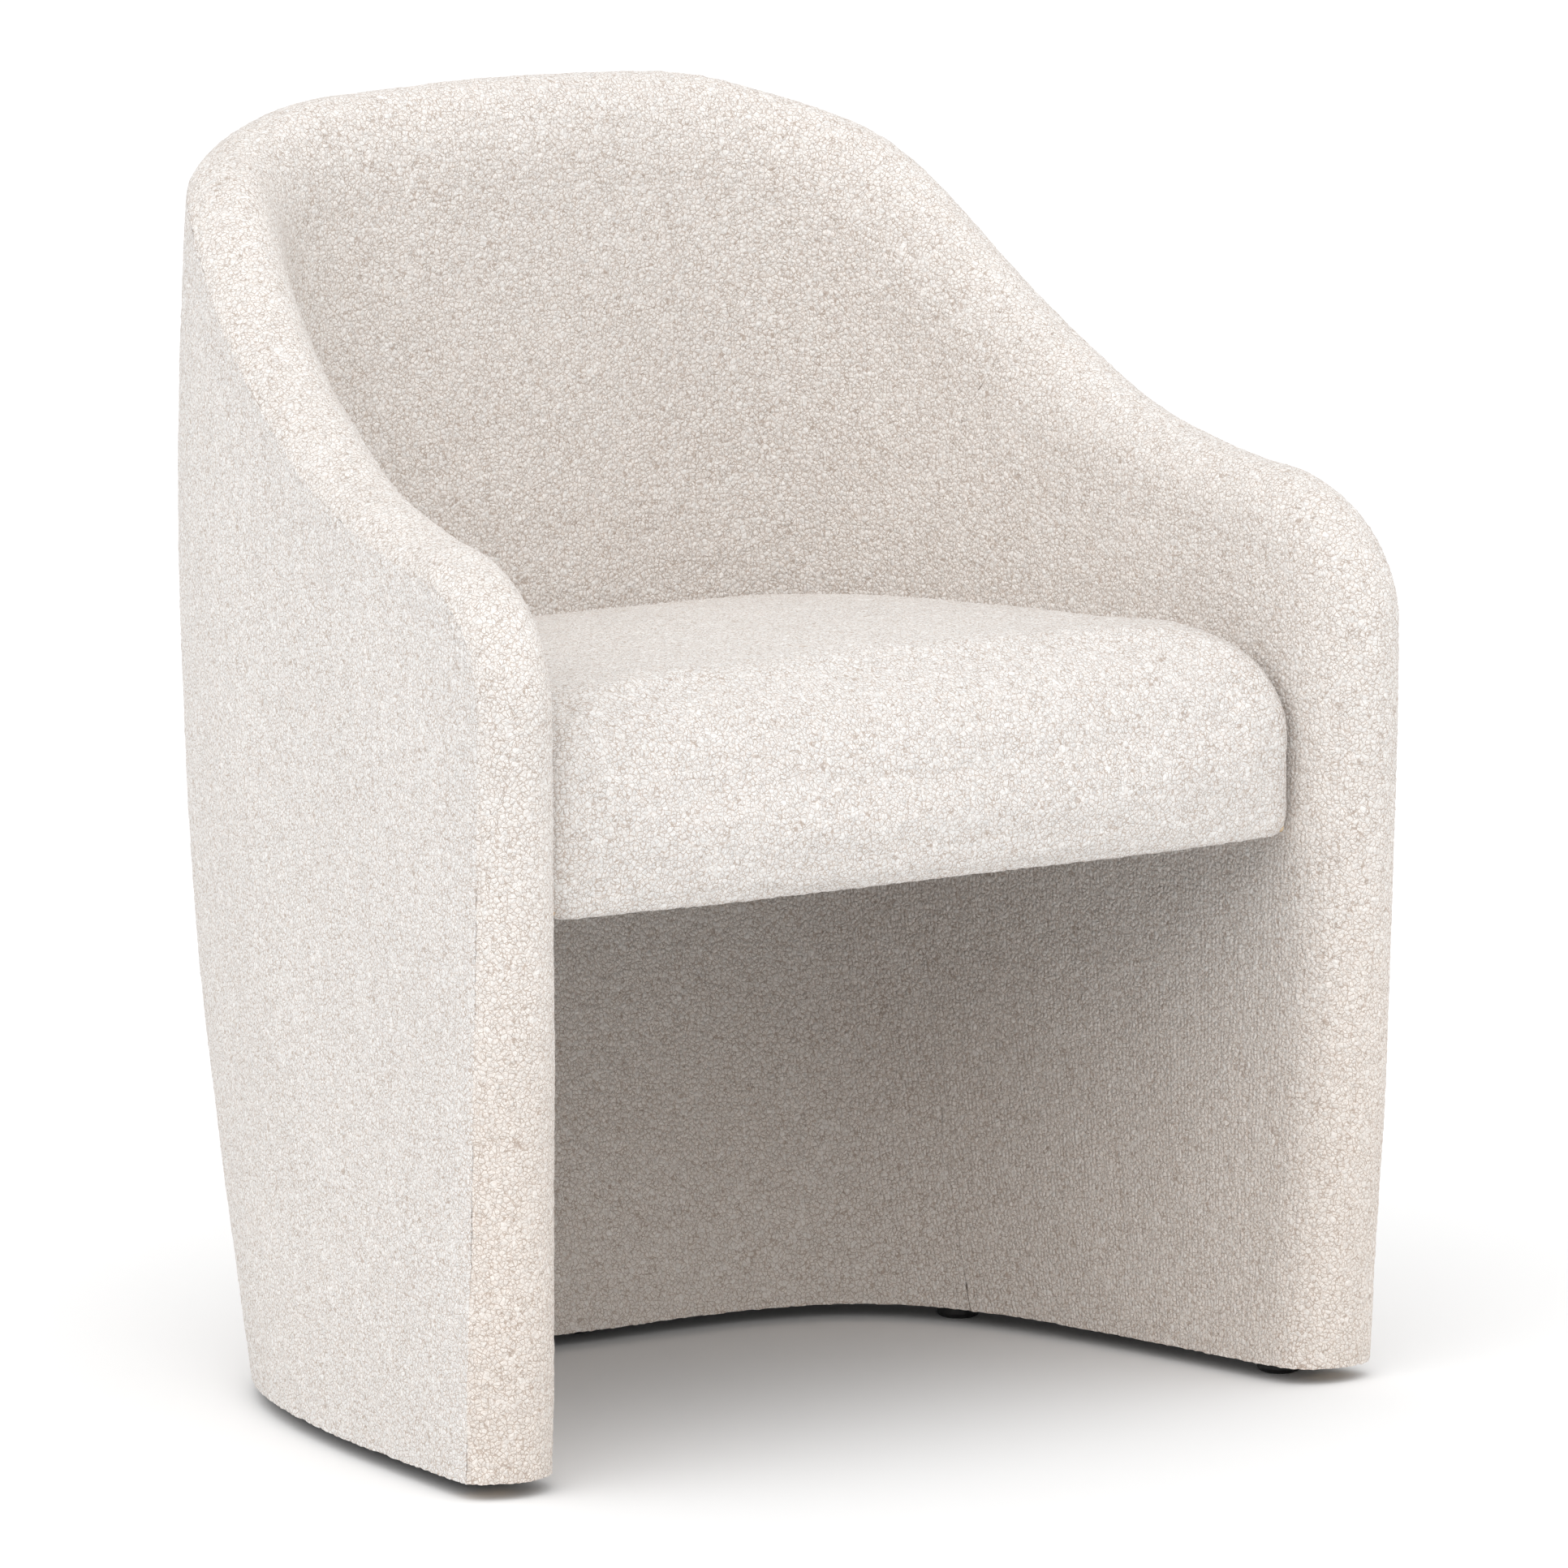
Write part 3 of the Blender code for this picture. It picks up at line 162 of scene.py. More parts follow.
# ---- wall coordinates --------------------------------------------------------------------
def bezier(points, t):
    """Cubic Bezier: (1-t)^3 P0 + 3t(1-t)^2 P1 + 3t^2(1-t) P2 + t^3 P3."""
    p = [np.array(q, dtype=float) for q in points]
    t = np.asarray(t, dtype=float)[..., None]
    r = 1.0 - t
    return r ** 3 * p[0] + 3 * t * r ** 2 * p[1] + 3 * t ** 2 * r * p[2] + t ** 3 * p[3]


def make_tables():
    """Arc length along the mean of the two plan curves, and the rim height smoothed by a Gaussian."""
    t = np.linspace(0.0, 1.0, TABLE_N)
    low = bezier(FLOOR_CURVE, t)
    high = bezier(SHOULDER_CURVE, t)
    step = np.linalg.norm(np.diff((low + high) / 2, axis=0), axis=1)
    s = np.concatenate([[0.0], np.cumsum(step)])
    dense = np.linspace(0.0, s[-1], TABLE_N)
    raw = np.interp(dense, np.array(RIM_SHARE) * s[-1], RIM_HEIGHT)
    reach = int(3 * RIM_SMOOTH / (dense[1] - dense[0]))
    k = np.arange(-reach, reach + 1) * (dense[1] - dense[0])
    kernel = np.exp(-0.5 * (k / RIM_SMOOTH) ** 2)
    padded = np.pad(raw, reach, mode="reflect", reflect_type="even")
    rim = np.convolve(padded, kernel / kernel.sum(), mode="valid")
    return s, low, high, dense, rim


S_TABLE, LOW_TABLE, HIGH_TABLE, RIM_S, RIM_Z = make_tables()
HALF = float(S_TABLE[-1])


def centre(a, z):
    """Middle surface: (1-k) floor curve + k shoulder curve, k = F q + (1-F)(2q - q^2), q = z / shoulder."""
    a, z = np.broadcast_arrays(np.asarray(a, dtype=float), np.asarray(z, dtype=float))
    s = HALF - np.abs(a)
    q = np.clip(z / SHOULDER_Z, 0.0, 1.2)
    k = FLARE * q + (1.0 - FLARE) * (2.0 * q - q * q)
    x = np.interp(s, S_TABLE, LOW_TABLE[:, 0]) * (1 - k) + np.interp(s, S_TABLE, HIGH_TABLE[:, 0]) * k
    y = np.interp(s, S_TABLE, LOW_TABLE[:, 1]) * (1 - k) + np.interp(s, S_TABLE, HIGH_TABLE[:, 1]) * k
    return np.sign(a + 1e-12) * x, y + np.minimum(s, 0.0)


def thickness(a, z):
    """Wall thickness: bilinear between front and back, floor and shoulder."""
    u = np.clip(1.0 - np.abs(a) / HALF, 0.0, 1.0)
    q = np.clip(np.asarray(z) / SHOULDER_Z, 0.0, 1.0)
    low = WALL_FRONT[0] + (WALL_BACK[0] - WALL_FRONT[0]) * u
    high = WALL_FRONT[1] + (WALL_BACK[1] - WALL_FRONT[1]) * u
    return low + (high - low) * q


def wall(a, z, n):
    """World point: middle surface at (a, z) plus n times its horizontal normal."""
    a = np.asarray(a, dtype=float)
    z = np.asarray(z, dtype=float)
    x0, y0 = centre(a - TANGENT_STEP, z)
    x1, y1 = centre(a + TANGENT_STEP, z)
    tx = x1 - x0
    ty = y1 - y0
    size = np.hypot(tx, ty)
    x, y = centre(a, z)
    return np.stack(np.broadcast_arrays(x - ty / size * n, y + tx / size * n + Y_SHIFT, z), axis=-1)


def rim_z(s):
    """Height of the rim's crest at s, past the corner."""
    return np.interp(s, RIM_S, RIM_Z)


def near_side(s):
    """Distance from the nearer front edge, for s that runs on past the middle of the back."""
    return np.where(s > HALF, 2 * HALF - s, s)


def path_normal(s, z):
    """Unit normals of the crest line in the (s, z) plane, pointing into the wall."""
    near = near_side(s)
    step = 0.001
    slope = (rim_z(np.minimum(near + step, HALF)) - rim_z(near - step)) / (2 * step)
    slope = np.where(near > HALF - step, 0.0, slope) * np.where(s > HALF, -1.0, 1.0)
    size = np.sqrt(1 + slope * slope)
    ns = slope / size
    nz = -1.0 / size
    top = float(rim_z(CORNER_R)) - CORNER_R
    turn_s = (CORNER_R - near) / CORNER_R
    turn_z = np.minimum(top - z, 0.0) / CORNER_R
    size = np.hypot(turn_s, turn_z) + 1e-12
    corner = near < CORNER_R - 1e-9
    return np.where(corner, turn_s / size, ns), np.where(corner, turn_z / size, nz)


def seam_s(z):
    """Distance from the front edge to the inside back seam at height z."""
    return np.interp(z, [p[0] for p in SEAM_LINE], [p[1] for p in SEAM_LINE])


# ---- panels ------------------------------------------------------------------------------
def spaced(low, high, cell):
    """Evenly spaced values from low to high, about a cell apart."""
    return np.linspace(low, high, max(2, int(round(abs(high - low) / cell)) + 1))


def folded(values, at_start=None, at_end=None):
    """Values and insets of a row of points whose ends are tightened and folded in.

    at_start and at_end say how far the fold runs on past that end, or None for no fold.
    """
    inset = np.zeros(len(values))
    rows = np.array(TUCK_ROWS)
    fold = np.array([FOLD, EDGE * 1.6, EDGE * 0.5, 0.0, 0.0])
    if at_start is not None:
        way = np.sign(values[1] - values[0])
        under = values[0] - way * at_start * rows
        values = np.concatenate([under, [values[0] + way * EDGE], values[1:]])
        inset = np.concatenate([fold, inset[1:]])
    if at_end is not None:
        way = np.sign(values[-2] - values[-1])
        under = values[-1] - way * at_end * rows[::-1]
        values = np.concatenate([values[:-1], [values[-1] + way * EDGE], under])
        inset = np.concatenate([inset[:-1], fold[::-1]])
    return values, inset


def crest_section():
    """Rim section as arrays: side, share of half thickness, depth, share of inset, inset.

    Two quarter ellipses, share = cos t and depth = r (1 - sin t), from the outer seam over the
    crest to the inner side, then straight down to the field.
    """
    lowest = math.asin(1 - SEAM_DROP / CREST_OUT_R)
    out_turn = np.linspace(lowest, math.pi / 2, 6)[:-1]
    in_turn = np.linspace(math.pi / 2, 0.0, 7)
    down = spaced(CREST_IN_R, FIELD_D, CELL)[1:]
    fold = np.array([FOLD, EDGE * 1.6, EDGE * 0.5])
    side = np.concatenate([np.ones(len(fold) + len(out_turn) + 1), -np.ones(len(in_turn) + len(down))])
    tight = lowest + EDGE / CREST_OUT_R
    turn = np.concatenate([np.full(len(fold), lowest), [lowest, tight], out_turn[1:], in_turn])
    share = np.concatenate([np.cos(turn), np.ones(len(down))])
    radius = np.where(side > 0, CREST_OUT_R, CREST_IN_R)
    depth = np.concatenate([radius[:len(turn)] * (1 - np.sin(turn)), down])
    lift = np.concatenate([np.sin(turn), np.zeros(len(down))])
    inset = np.zeros(len(depth))
    inset[:len(fold)] = fold
    return side, share, depth, lift, inset


def strip(s, z, e):
    """Rim strip over crest samples: (s, z) + depth * path normal, n = side * share * (half - e).

    On the inner side the depth is stretched so that the rounding's radius grows towards the back.
    The fourth array returned is the inset e.
    """
    side, share, depth, lift, row_e = crest_section()
    ns, nz = path_normal(s, z)
    inset = np.maximum(row_e[:, None], e[None])
    grow = np.clip((near_side(s) - SOFT_FROM) / (SOFT_TO - SOFT_FROM), 0.0, 1.0)
    radius = CREST_IN_R + (CREST_SOFT_R - CREST_IN_R) * grow * grow * (3 - 2 * grow)
    row = depth[:, None]
    below = radius + (row - CREST_IN_R) * (FIELD_D - radius) / (FIELD_D - CREST_IN_R)
    inner = np.where(row <= CREST_IN_R, row * radius / CREST_IN_R, below)
    d = np.where(side[:, None] < 0, inner, row) + inset * lift[:, None]
    ss = s[None] + ns[None] * d
    zz = z[None] + nz[None] * d
    half = thickness(HALF - ss, zz) / 2
    n = side[:, None] * share[:, None] * (half - inset)
    n = np.where(row_e[:, None] > 0, side[:, None] * (share[:, None] * half - inset), n)
    return ss, zz, n, inset


def shares(line):
    """Running length along a line of (s, z) points, from 0 to 1."""
    step = np.linalg.norm(np.diff(line, axis=0), axis=1)
    run = np.concatenate([[0.0], np.cumsum(step)])
    return run / run[-1]


def coons(left, top, right, bottom, u, v):
    """Coons patch: ruled left-right plus ruled bottom-top minus the bilinear blend of the corners."""
    u = u[None, :, None]
    v = v[:, None, None]
    sides = (1 - u) * left[:, None] + u * right[:, None] + (1 - v) * bottom[None] + v * top[None]
    corners = (1 - u) * (1 - v) * left[0] + u * (1 - v) * right[0] + (1 - u) * v * left[-1] + u * v * top[-1]
    return sides - corners


def seam_side(z, s_high, past):
    """Seam line moved by past, and leaned over linearly so that its top end meets s_high."""
    lean = (s_high - seam_s(z[-1]) - past) * (z - z[0]) / (z[-1] - z[0])
    return np.stack([seam_s(z) + past + lean, z], axis=-1)


def arm_path():
    """Crest line of one arm as s, z, e: up the front, round the corner, back to the inside seam."""
    top = float(rim_z(CORNER_R))
    up = spaced(COVER_Z, top - CORNER_R, CELL)[:-1]
    turn = np.linspace(0.0, math.pi / 2, TURN_ROWS)[:-1]
    end = float(seam_s(SEAM_LINE[-1][0]))
    run = spaced(CORNER_R, end, CELL)
    up, up_e = folded(up, at_start=0.0)
    run, run_e = folded(run, at_end=TUCK)
    s = np.concatenate([np.zeros(len(up)), CORNER_R * (1 - np.cos(turn)), run])
    z = np.concatenate([up, top - CORNER_R + CORNER_R * np.sin(turn), rim_z(run)])
    e = np.concatenate([up_e, np.zeros(len(turn)), run_e])
    return s, z, e, len(up) + len(turn) // 2


def arm_panel(sign):
    """Grids (points, cloth coordinates) of the inside arm with its rim and front face."""
    s, z, e, corner = arm_path()
    ss, zz, n, rim_e = strip(s, z, e)
    rim = wall(sign * (HALF - ss), zz, n)
    line = np.stack([ss[-1], zz[-1]], axis=-1)
    left = line[:corner + 1]
    top = line[corner:]
    v = shares(left)
    u = shares(top)
    right = seam_side(left[0, 1] + v * (top[-1, 1] - left[0, 1]), top[-1, 0], TUCK)
    bottom = np.stack([left[0, 0] + u * (right[0, 0] - left[0, 0]), np.full(len(u), left[0, 1])], axis=-1)
    patch = coons(left, top, right, bottom, u, v)
    inset = np.maximum(e[:corner + 1][:, None], e[corner:][None])
    n_field = -(thickness(HALF - patch[..., 0], patch[..., 1]) / 2 - inset)
    field = wall(sign * (HALF - patch[..., 0]), patch[..., 1], n_field)
    field[:, 0] = rim[-1][:corner + 1]
    field[-1] = rim[-1][corner:]
    rim_cloth = np.stack([ss, zz, rim_e], axis=-1)
    field_cloth = np.stack([patch[..., 0], patch[..., 1], inset], axis=-1)
    return [(rim, rim_cloth), (field, field_cloth)]


def back_panel():
    """Grids of the inside back with the top of the back, between the two inside back seams."""
    start = float(seam_s(SEAM_LINE[-1][0]))
    s, e = folded(spaced(start, 2 * HALF - start, BACK_CELL), at_start=TUCK, at_end=TUCK)
    ss, zz, n, rim_e = strip(s, rim_z(near_side(s)), e)
    rim = wall(HALF - ss, zz, n)
    top = np.stack([ss[-1], zz[-1]], axis=-1)
    z, row_e = folded(spaced(COVER_Z, top[0, 1], BACK_CELL), at_start=0.0)
    v = (z - z[0]) / (z[-1] - z[0])
    u = shares(top)
    left = seam_side(z, top[0, 0], -TUCK)
    right = left * (-1, 1) + (2 * HALF, 0)
    bottom = np.stack([left[0, 0] + u * (right[0, 0] - left[0, 0]), np.full(len(u), z[0])], axis=-1)
    patch = coons(left, top, right, bottom, u, v)
    a = HALF - patch[..., 0]
    inset = np.maximum(row_e[:, None], e[None])
    field = wall(a, patch[..., 1], -(thickness(a, patch[..., 1]) / 2 - inset))
    field[-1] = rim[-1]
    return [(rim, np.stack([ss, zz, rim_e], axis=-1)),
            (field, np.concatenate([patch, inset[..., None]], axis=-1))]


def outside_n(s, z, inset):
    """Offset of the outside face; near the rim it follows the crest's quarter ellipse."""
    near = near_side(s)
    top = float(rim_z(CORNER_R)) - CORNER_R
    depth = np.minimum(near, np.where(near < CORNER_R, 1.0, rim_z(near) - z))
    turn = CORNER_R - np.hypot(CORNER_R - near, np.maximum(z - top, 0.0))
    depth = np.where((near < CORNER_R) & (z > top), turn, depth)
    q = np.clip(1 - depth / CREST_OUT_R, 0.0, 1.0)
    return thickness(HALF - near, z) / 2 * np.sqrt(1 - q * q) - inset


def outside_arm_panel(sign):
    """Grid of the outside arm, from the front and arm seam to the outside back seam."""
    top = float(rim_z(CORNER_R))
    up, up_e = folded(spaced(COVER_Z, top - CORNER_R, CELL)[:-1], at_start=0.0)
    turn = np.linspace(0.0, math.pi / 2, TURN_ROWS)[:-1]
    run, run_e = folded(spaced(CORNER_R, OUTER_SEAM, CELL), at_end=TUCK)
    s = np.concatenate([np.zeros(len(up)), CORNER_R * (1 - np.cos(turn)), run])
    z = np.concatenate([up, top - CORNER_R + CORNER_R * np.sin(turn), rim_z(run)])
    e = np.concatenate([up_e, np.zeros(len(turn)), run_e])
    corner = len(up) + len(turn) // 2
    ns, nz = path_normal(s, z)
    line = np.stack([s + ns * SEAM_DROP, z + nz * SEAM_DROP], axis=-1)
    flat = e > 0
    line[flat & (s < CORNER_R), 1] = COVER_Z
    line[flat & (s > CORNER_R), 0] = s[flat & (s > CORNER_R)]
    left = line[:corner + 1]
    top_line = line[corner:]
    v = shares(left)
    u = shares(top_line)
    right = np.stack([np.full(len(v), s[-1]), COVER_Z + v * (top_line[-1, 1] - COVER_Z)], axis=-1)
    low_s = left[0, 0] + u * (s[-1] - left[0, 0])
    bottom = np.stack([low_s, np.full(len(u), COVER_Z)], axis=-1)
    patch = coons(left, top_line, right, bottom, u, v)
    inset = np.maximum(e[:corner + 1][:, None], e[corner:][None])
    patch, inset = add_border(patch, inset)
    n = outside_n(patch[..., 0], patch[..., 1], inset)
    points = wall(sign * (HALF - patch[..., 0]), patch[..., 1], n)
    return [(points, np.concatenate([patch, inset[..., None]], axis=-1))]


def add_border(patch, inset):
    """Adds tightening and folded rows along a patch's left and top borders."""
    def widen(grid):
        """Repeats the first column four times and adds one close beside it."""
        first = grid[:, :1]
        near = first + (grid[:, 1:2] - first) * (EDGE / CELL)
        return np.concatenate([first, first, first, first, near, grid[:, 1:]], axis=1)

    grid = widen(patch)
    fold = np.array([FOLD, EDGE * 1.6, EDGE * 0.5, 0.0, 0.0])
    e = np.concatenate([np.maximum(fold[None], inset[:, :1]), inset[:, 1:]], axis=1)
    flipped = widen(np.swapaxes(grid[::-1], 0, 1))
    grid = np.swapaxes(flipped, 0, 1)[::-1]
    turned = e[::-1].T
    turned = np.concatenate([np.maximum(fold[None], turned[:, :1]), turned[:, 1:]], axis=1)
    return grid, turned.T[::-1]


def outside_back_panel():
    """Grid of the outside back between the two outside back seams."""
    s, e = folded(spaced(OUTER_SEAM, 2 * HALF - OUTER_SEAM, CELL), at_start=TUCK, at_end=TUCK)
    v, row_e = folded(spaced(0.0, 1.0, CELL / float(rim_z(HALF))), at_start=0.0, at_end=0.0)
    z = COVER_Z + v[:, None] * (rim_z(near_side(s))[None] - SEAM_DROP - COVER_Z)
    s = np.broadcast_to(s, z.shape)
    inset = np.maximum(row_e[:, None], e[None])
    n = outside_n(s, z, inset)
    return [(wall(HALF - s, z, n), np.stack([s, z, inset], axis=-1))]


# ---- the seat ----------------------------------------------------------------------------
def seat_outline(z, count):
    """Closed outline of the seat at height z: the wall's inner face, a bowed front, averaged corners.

    count is (width, deep): deep points along each side, width along the back and along the front.
    The ring starts at the front of one side and runs back, across, forward and along the front.
    """
    s = spaced(SEAT_SETBACK, 2 * HALF - SEAT_SETBACK, SEAT_STEP)
    a = HALF - s
    side = wall(a, z, -thickness(a, z) / 2 - SEAT_CLEAR)
    corner = side[0]
    u = spaced(-1, 1, SEAT_STEP / corner[0])[1:-1]
    front = np.stack([u * corner[0], corner[1] - SEAT_BOW * (1 - u * u), np.full(len(u), z)], axis=-1)
    loop = np.concatenate([side, front])[:, :2]
    reach = int(SEAT_CORNER / SEAT_STEP)
    kernel = np.ones(2 * reach + 1) / (2 * reach + 1)
    ring = np.concatenate([loop[-reach:], loop, loop[:reach]])
    loop = np.stack([np.convolve(ring[:, k], kernel, mode="valid") for k in (0, 1)], axis=-1)
    turn = np.interp(SEAT_TURN, s, np.arange(len(s)))
    far = len(side) - 1 - turn
    marks = (0, turn, far, len(side) - 1, len(loop))
    closed = np.concatenate([loop, loop[:1]])
    place = []
    for k, n in enumerate((count[1], count[0], count[1], count[0])):
        place.append(np.linspace(marks[k], marks[k + 1], n + 1)[:-1])
    place = np.concatenate(place)
    step = np.arange(len(closed))
    return np.stack([np.interp(place, step, closed[:, 0]), np.interp(place, step, closed[:, 1]),
                     np.full(len(place), z)], axis=-1)


def seat_edge_z(points):
    """Height of the seat's top edge: linear from front to back."""
    y = points[:, 1] - Y_SHIFT
    share = np.clip((y - SEAT_TOP_FROM) / SEAT_TOP_RUN, 0, 1)
    return SEAT_TOP_FRONT + (SEAT_TOP_BACK - SEAT_TOP_FRONT) * share


def seat_grids():
    """Skirt grid (rings up the sides and over the edge) and top grid of the seat pad.

    A ring is the outline drawn to the middle by r (1 - cos t) and raised by drop sin t.
    The lower edge is rounded the same way. The top is a Coons patch of the last ring plus a crown
    c (1 - p^4)(1 - q^2).
    """
    width, deep = (int(size / SEAT_CELL) // 2 * 2 for size in SEAT_SIZE)
    low = seat_outline(SEAT_Z, (width, deep))
    high = seat_outline(SEAT_HIGH, (width, deep))
    total = len(low)
    index = np.arange(total)
    front_first = 2 * deep + width
    off = np.where(index >= front_first, 0, np.minimum(index, front_first - index)) * SEAT_CELL
    front = np.clip(1 - off / SEAT_FRONT_RUN, 0, 1)
    front = front * front * (3 - 2 * front)
    r = SEAT_SIDE_R + (SEAT_FRONT_R - SEAT_SIDE_R) * front
    drop = SEAT_SIDE_DROP + (SEAT_FRONT_DROP - SEAT_SIDE_DROP) * front
    middle = np.array([0.0, SEAT_MIDDLE_Y + Y_SHIFT])
    top = seat_edge_z(high)
    lower = top - drop
    reach = np.linalg.norm(high[:, :2] - middle, axis=1)
    rings = []

    def ring(v, draw, rise):
        """Adds a ring v of the way up the sides, drawn in and raised."""
        z = SEAT_Z + (lower - SEAT_Z) * v + rise
        share = (z - SEAT_Z) / (SEAT_HIGH - SEAT_Z)
        plan = low[:, :2] + (high - low)[:, :2] * np.minimum(share, 1.0)[:, None]
        plan = plan + (middle - plan) * (draw / reach)[:, None]
        rings.append(np.concatenate([plan, z[:, None]], axis=1))

    hem_draw = SEAT_HEM_SIDE + (SEAT_HEM_DRAW - SEAT_HEM_SIDE) * front
    hem_rise = SEAT_HEM_SIDE + (SEAT_HEM_RISE - SEAT_HEM_SIDE) * front
    for inward in (0.011, 0.004):
        ring(0.0, hem_draw + inward, np.zeros(total))
    for turn in np.linspace(0.0, math.pi / 2, 8):
        ring(0.0, hem_draw * (1 - math.sin(turn)), hem_rise * (1 - math.cos(turn)))
    for v in np.linspace(0.0, 1.0, 14)[1:]:
        ring(v, np.zeros(total), hem_rise * (1 - v))
    for turn in np.linspace(0.0, math.pi / 2, 16)[1:]:
        ring(1.0, r * (1 - math.cos(turn)), drop * math.sin(turn))
    skirt = np.stack(rings)
    last = skirt[-1]
    right = last[:deep + 1]
    back = last[deep:deep + width + 1][::-1]
    left = last[deep + width:front_first + 1][::-1]
    front_line = np.concatenate([last[front_first:], last[:1]])
    u = np.linspace(0, 1, width + 1)
    v = np.linspace(0, 1, deep + 1)
    patch = coons(left, back, right, front_line, u, v)
    p = 2 * u[None] - 1
    q = 2 * v[:, None] - 1
    patch[..., 2] += SEAT_CROWN * (1 - p ** 4) * (1 - q * q)
    closed = np.concatenate([skirt, skirt[:, :1]], axis=1)
    return [(closed, closed * (1, 1, 0)), (patch, patch * (1, 1, 0))]


# ---- meshes ------------------------------------------------------------------------------
def grid_quads(rows, cols, offset):
    """Corner indices of a grid's quads, numbered row by row."""
    i = np.arange(rows - 1)[:, None] * cols + np.arange(cols - 1)[None] + offset
    return np.stack([i, i + 1, i + cols + 1, i + cols], axis=-1).reshape(-1, 4)


def sound_faces(quads):
    """Quads whose corners are four different points, then the three-cornered rest; flat ones are left out."""
    same = quads == np.roll(quads, -1, axis=1)
    across = (quads[:, 0] == quads[:, 2]) | (quads[:, 1] == quads[:, 3])
    whole = quads[(same.sum(axis=1) == 0) & ~across]
    folded_up = (same.sum(axis=1) == 1) & ~across
    corners = quads[folded_up][~same[folded_up]].reshape(-1, 3)
    return whole.tolist() + corners.tolist()


def panel_object(name, grids, outward):
    """Mesh of one or more grids, merged where they meet, with a cloth coordinate on its points.

    It is (s, z, inset) on the wall and (x, y, 0) on the seat.
    """
    points = np.concatenate([g.reshape(-1, 3) for g, _ in grids])
    cloth = np.concatenate([c.reshape(-1, 3) for _, c in grids])
    quads = []
    offset = 0
    for g, _ in grids:
        quads.append(grid_quads(g.shape[0], g.shape[1], offset))
        offset += g.shape[0] * g.shape[1]
    quads = np.concatenate(quads)
    _, first, index = np.unique(np.round(points, 6), axis=0, return_index=True, return_inverse=True)
    mesh = bpy.data.meshes.new(name)
    mesh.from_pydata(points[first], [], sound_faces(index.reshape(-1)[quads]))
    mesh.attributes.new("cloth", "FLOAT_VECTOR", "POINT").data.foreach_set("vector", cloth[first].ravel())
    obj = bpy.data.objects.new(name, mesh)
    bpy.context.scene.collection.objects.link(obj)
    bm = bmesh.new()
    bm.from_mesh(mesh)
    bmesh.ops.recalc_face_normals(bm, faces=bm.faces)
    bm.faces.ensure_lookup_table()
    probe = max(bm.faces, key=lambda f: outward(f.calc_center_median()))
    if probe.normal.dot(outward.way(probe.calc_center_median())) < 0:
        bmesh.ops.reverse_faces(bm, faces=bm.faces)
    bm.to_mesh(mesh)
    bm.free()
    return obj


class Facing:
    """Picks a face by a score and says which way it has to look."""

    def __init__(self, score, way):
        self.score = score
        self.way = way

    def __call__(self, point):
        return self.score(point)


def coordinates(mesh):
    """Vertex positions and normals as arrays."""
    co = np.empty(len(mesh.vertices) * 3)
    mesh.vertices.foreach_get("co", co)
    normal = np.empty(len(mesh.vertices) * 3)
    mesh.vertex_normals.foreach_get("vector", normal)
    return co.reshape(-1, 3), normal.reshape(-1, 3)


def apply_modifiers(obj):
    """Bakes the modifier stack into the mesh."""
    deps = bpy.context.evaluated_depsgraph_get()
    mesh = bpy.data.meshes.new_from_object(obj.evaluated_get(deps), preserve_all_data_layers=True,
                                           depsgraph=deps)
    obj.modifiers.clear()
    old = obj.data
    obj.data = mesh
    mesh.name = obj.name
    bpy.data.meshes.remove(old)


def subdivide(obj, levels):
    """Catmull-Clark subdivision, applied."""
    mod = obj.modifiers.new("smooth", "SUBSURF")
    mod.levels = levels
    mod.render_levels = levels
    mod.boundary_smooth = "PRESERVE_CORNERS"
    apply_modifiers(obj)


def cell_hash(cells, salt):
    """Repeatable random numbers from 0 to 1, three for each integer cell."""
    i = cells.astype(np.int64)
    h = i[..., 0] * 73856093 ^ i[..., 1] * 19349663 ^ i[..., 2] * 83492791 ^ salt * 2654435761
    out = []
    for k in range(3):
        h = (h ^ (h >> 13)) * 1274126177 + k * 374761393
        h = h & 0xFFFFFFFF
        out.append(h / 4294967295.0)
    return np.stack(out, axis=-1)


def loops(points, size, salt):
    """Domed cells: 1 - (F1 / 0.8)^2, F1 the distance to the nearest jittered cell point, in cells."""
    p = points / size
    base = np.floor(p)
    best = np.full(len(p), 9.0)
    pick = np.zeros(len(p))
    for dx in (-1, 0, 1):
        for dy in (-1, 0, 1):
            for dz in (-1, 0, 1):
                cell = base + (dx, dy, dz)
                jitter = cell_hash(cell, salt)
                d = np.linalg.norm(cell + 0.1 + 0.8 * jitter - p, axis=1)
                closer = d < best
                best = np.where(closer, d, best)
                pick = np.where(closer, jitter[:, 2], pick)
    return np.clip(1 - (best / 0.8) ** 2, 0, 1) * (0.55 + 0.45 * pick)


def ripple(points, size, salt):
    """Smooth noise: values of the integer lattice blended by smoothstep weights, from -1 to 1."""
    p = points / size
    base = np.floor(p)
    f = p - base
    f = f * f * (3 - 2 * f)
    total = np.zeros(len(p))
    for dx in (0, 1):
        for dy in (0, 1):
            for dz in (0, 1):
                w = np.abs(1 - dx - f[:, 0]) * np.abs(1 - dy - f[:, 1]) * np.abs(1 - dz - f[:, 2])
                total += w * cell_hash(base + (dx, dy, dz), salt)[:, 0]
    return 2 * total - 1


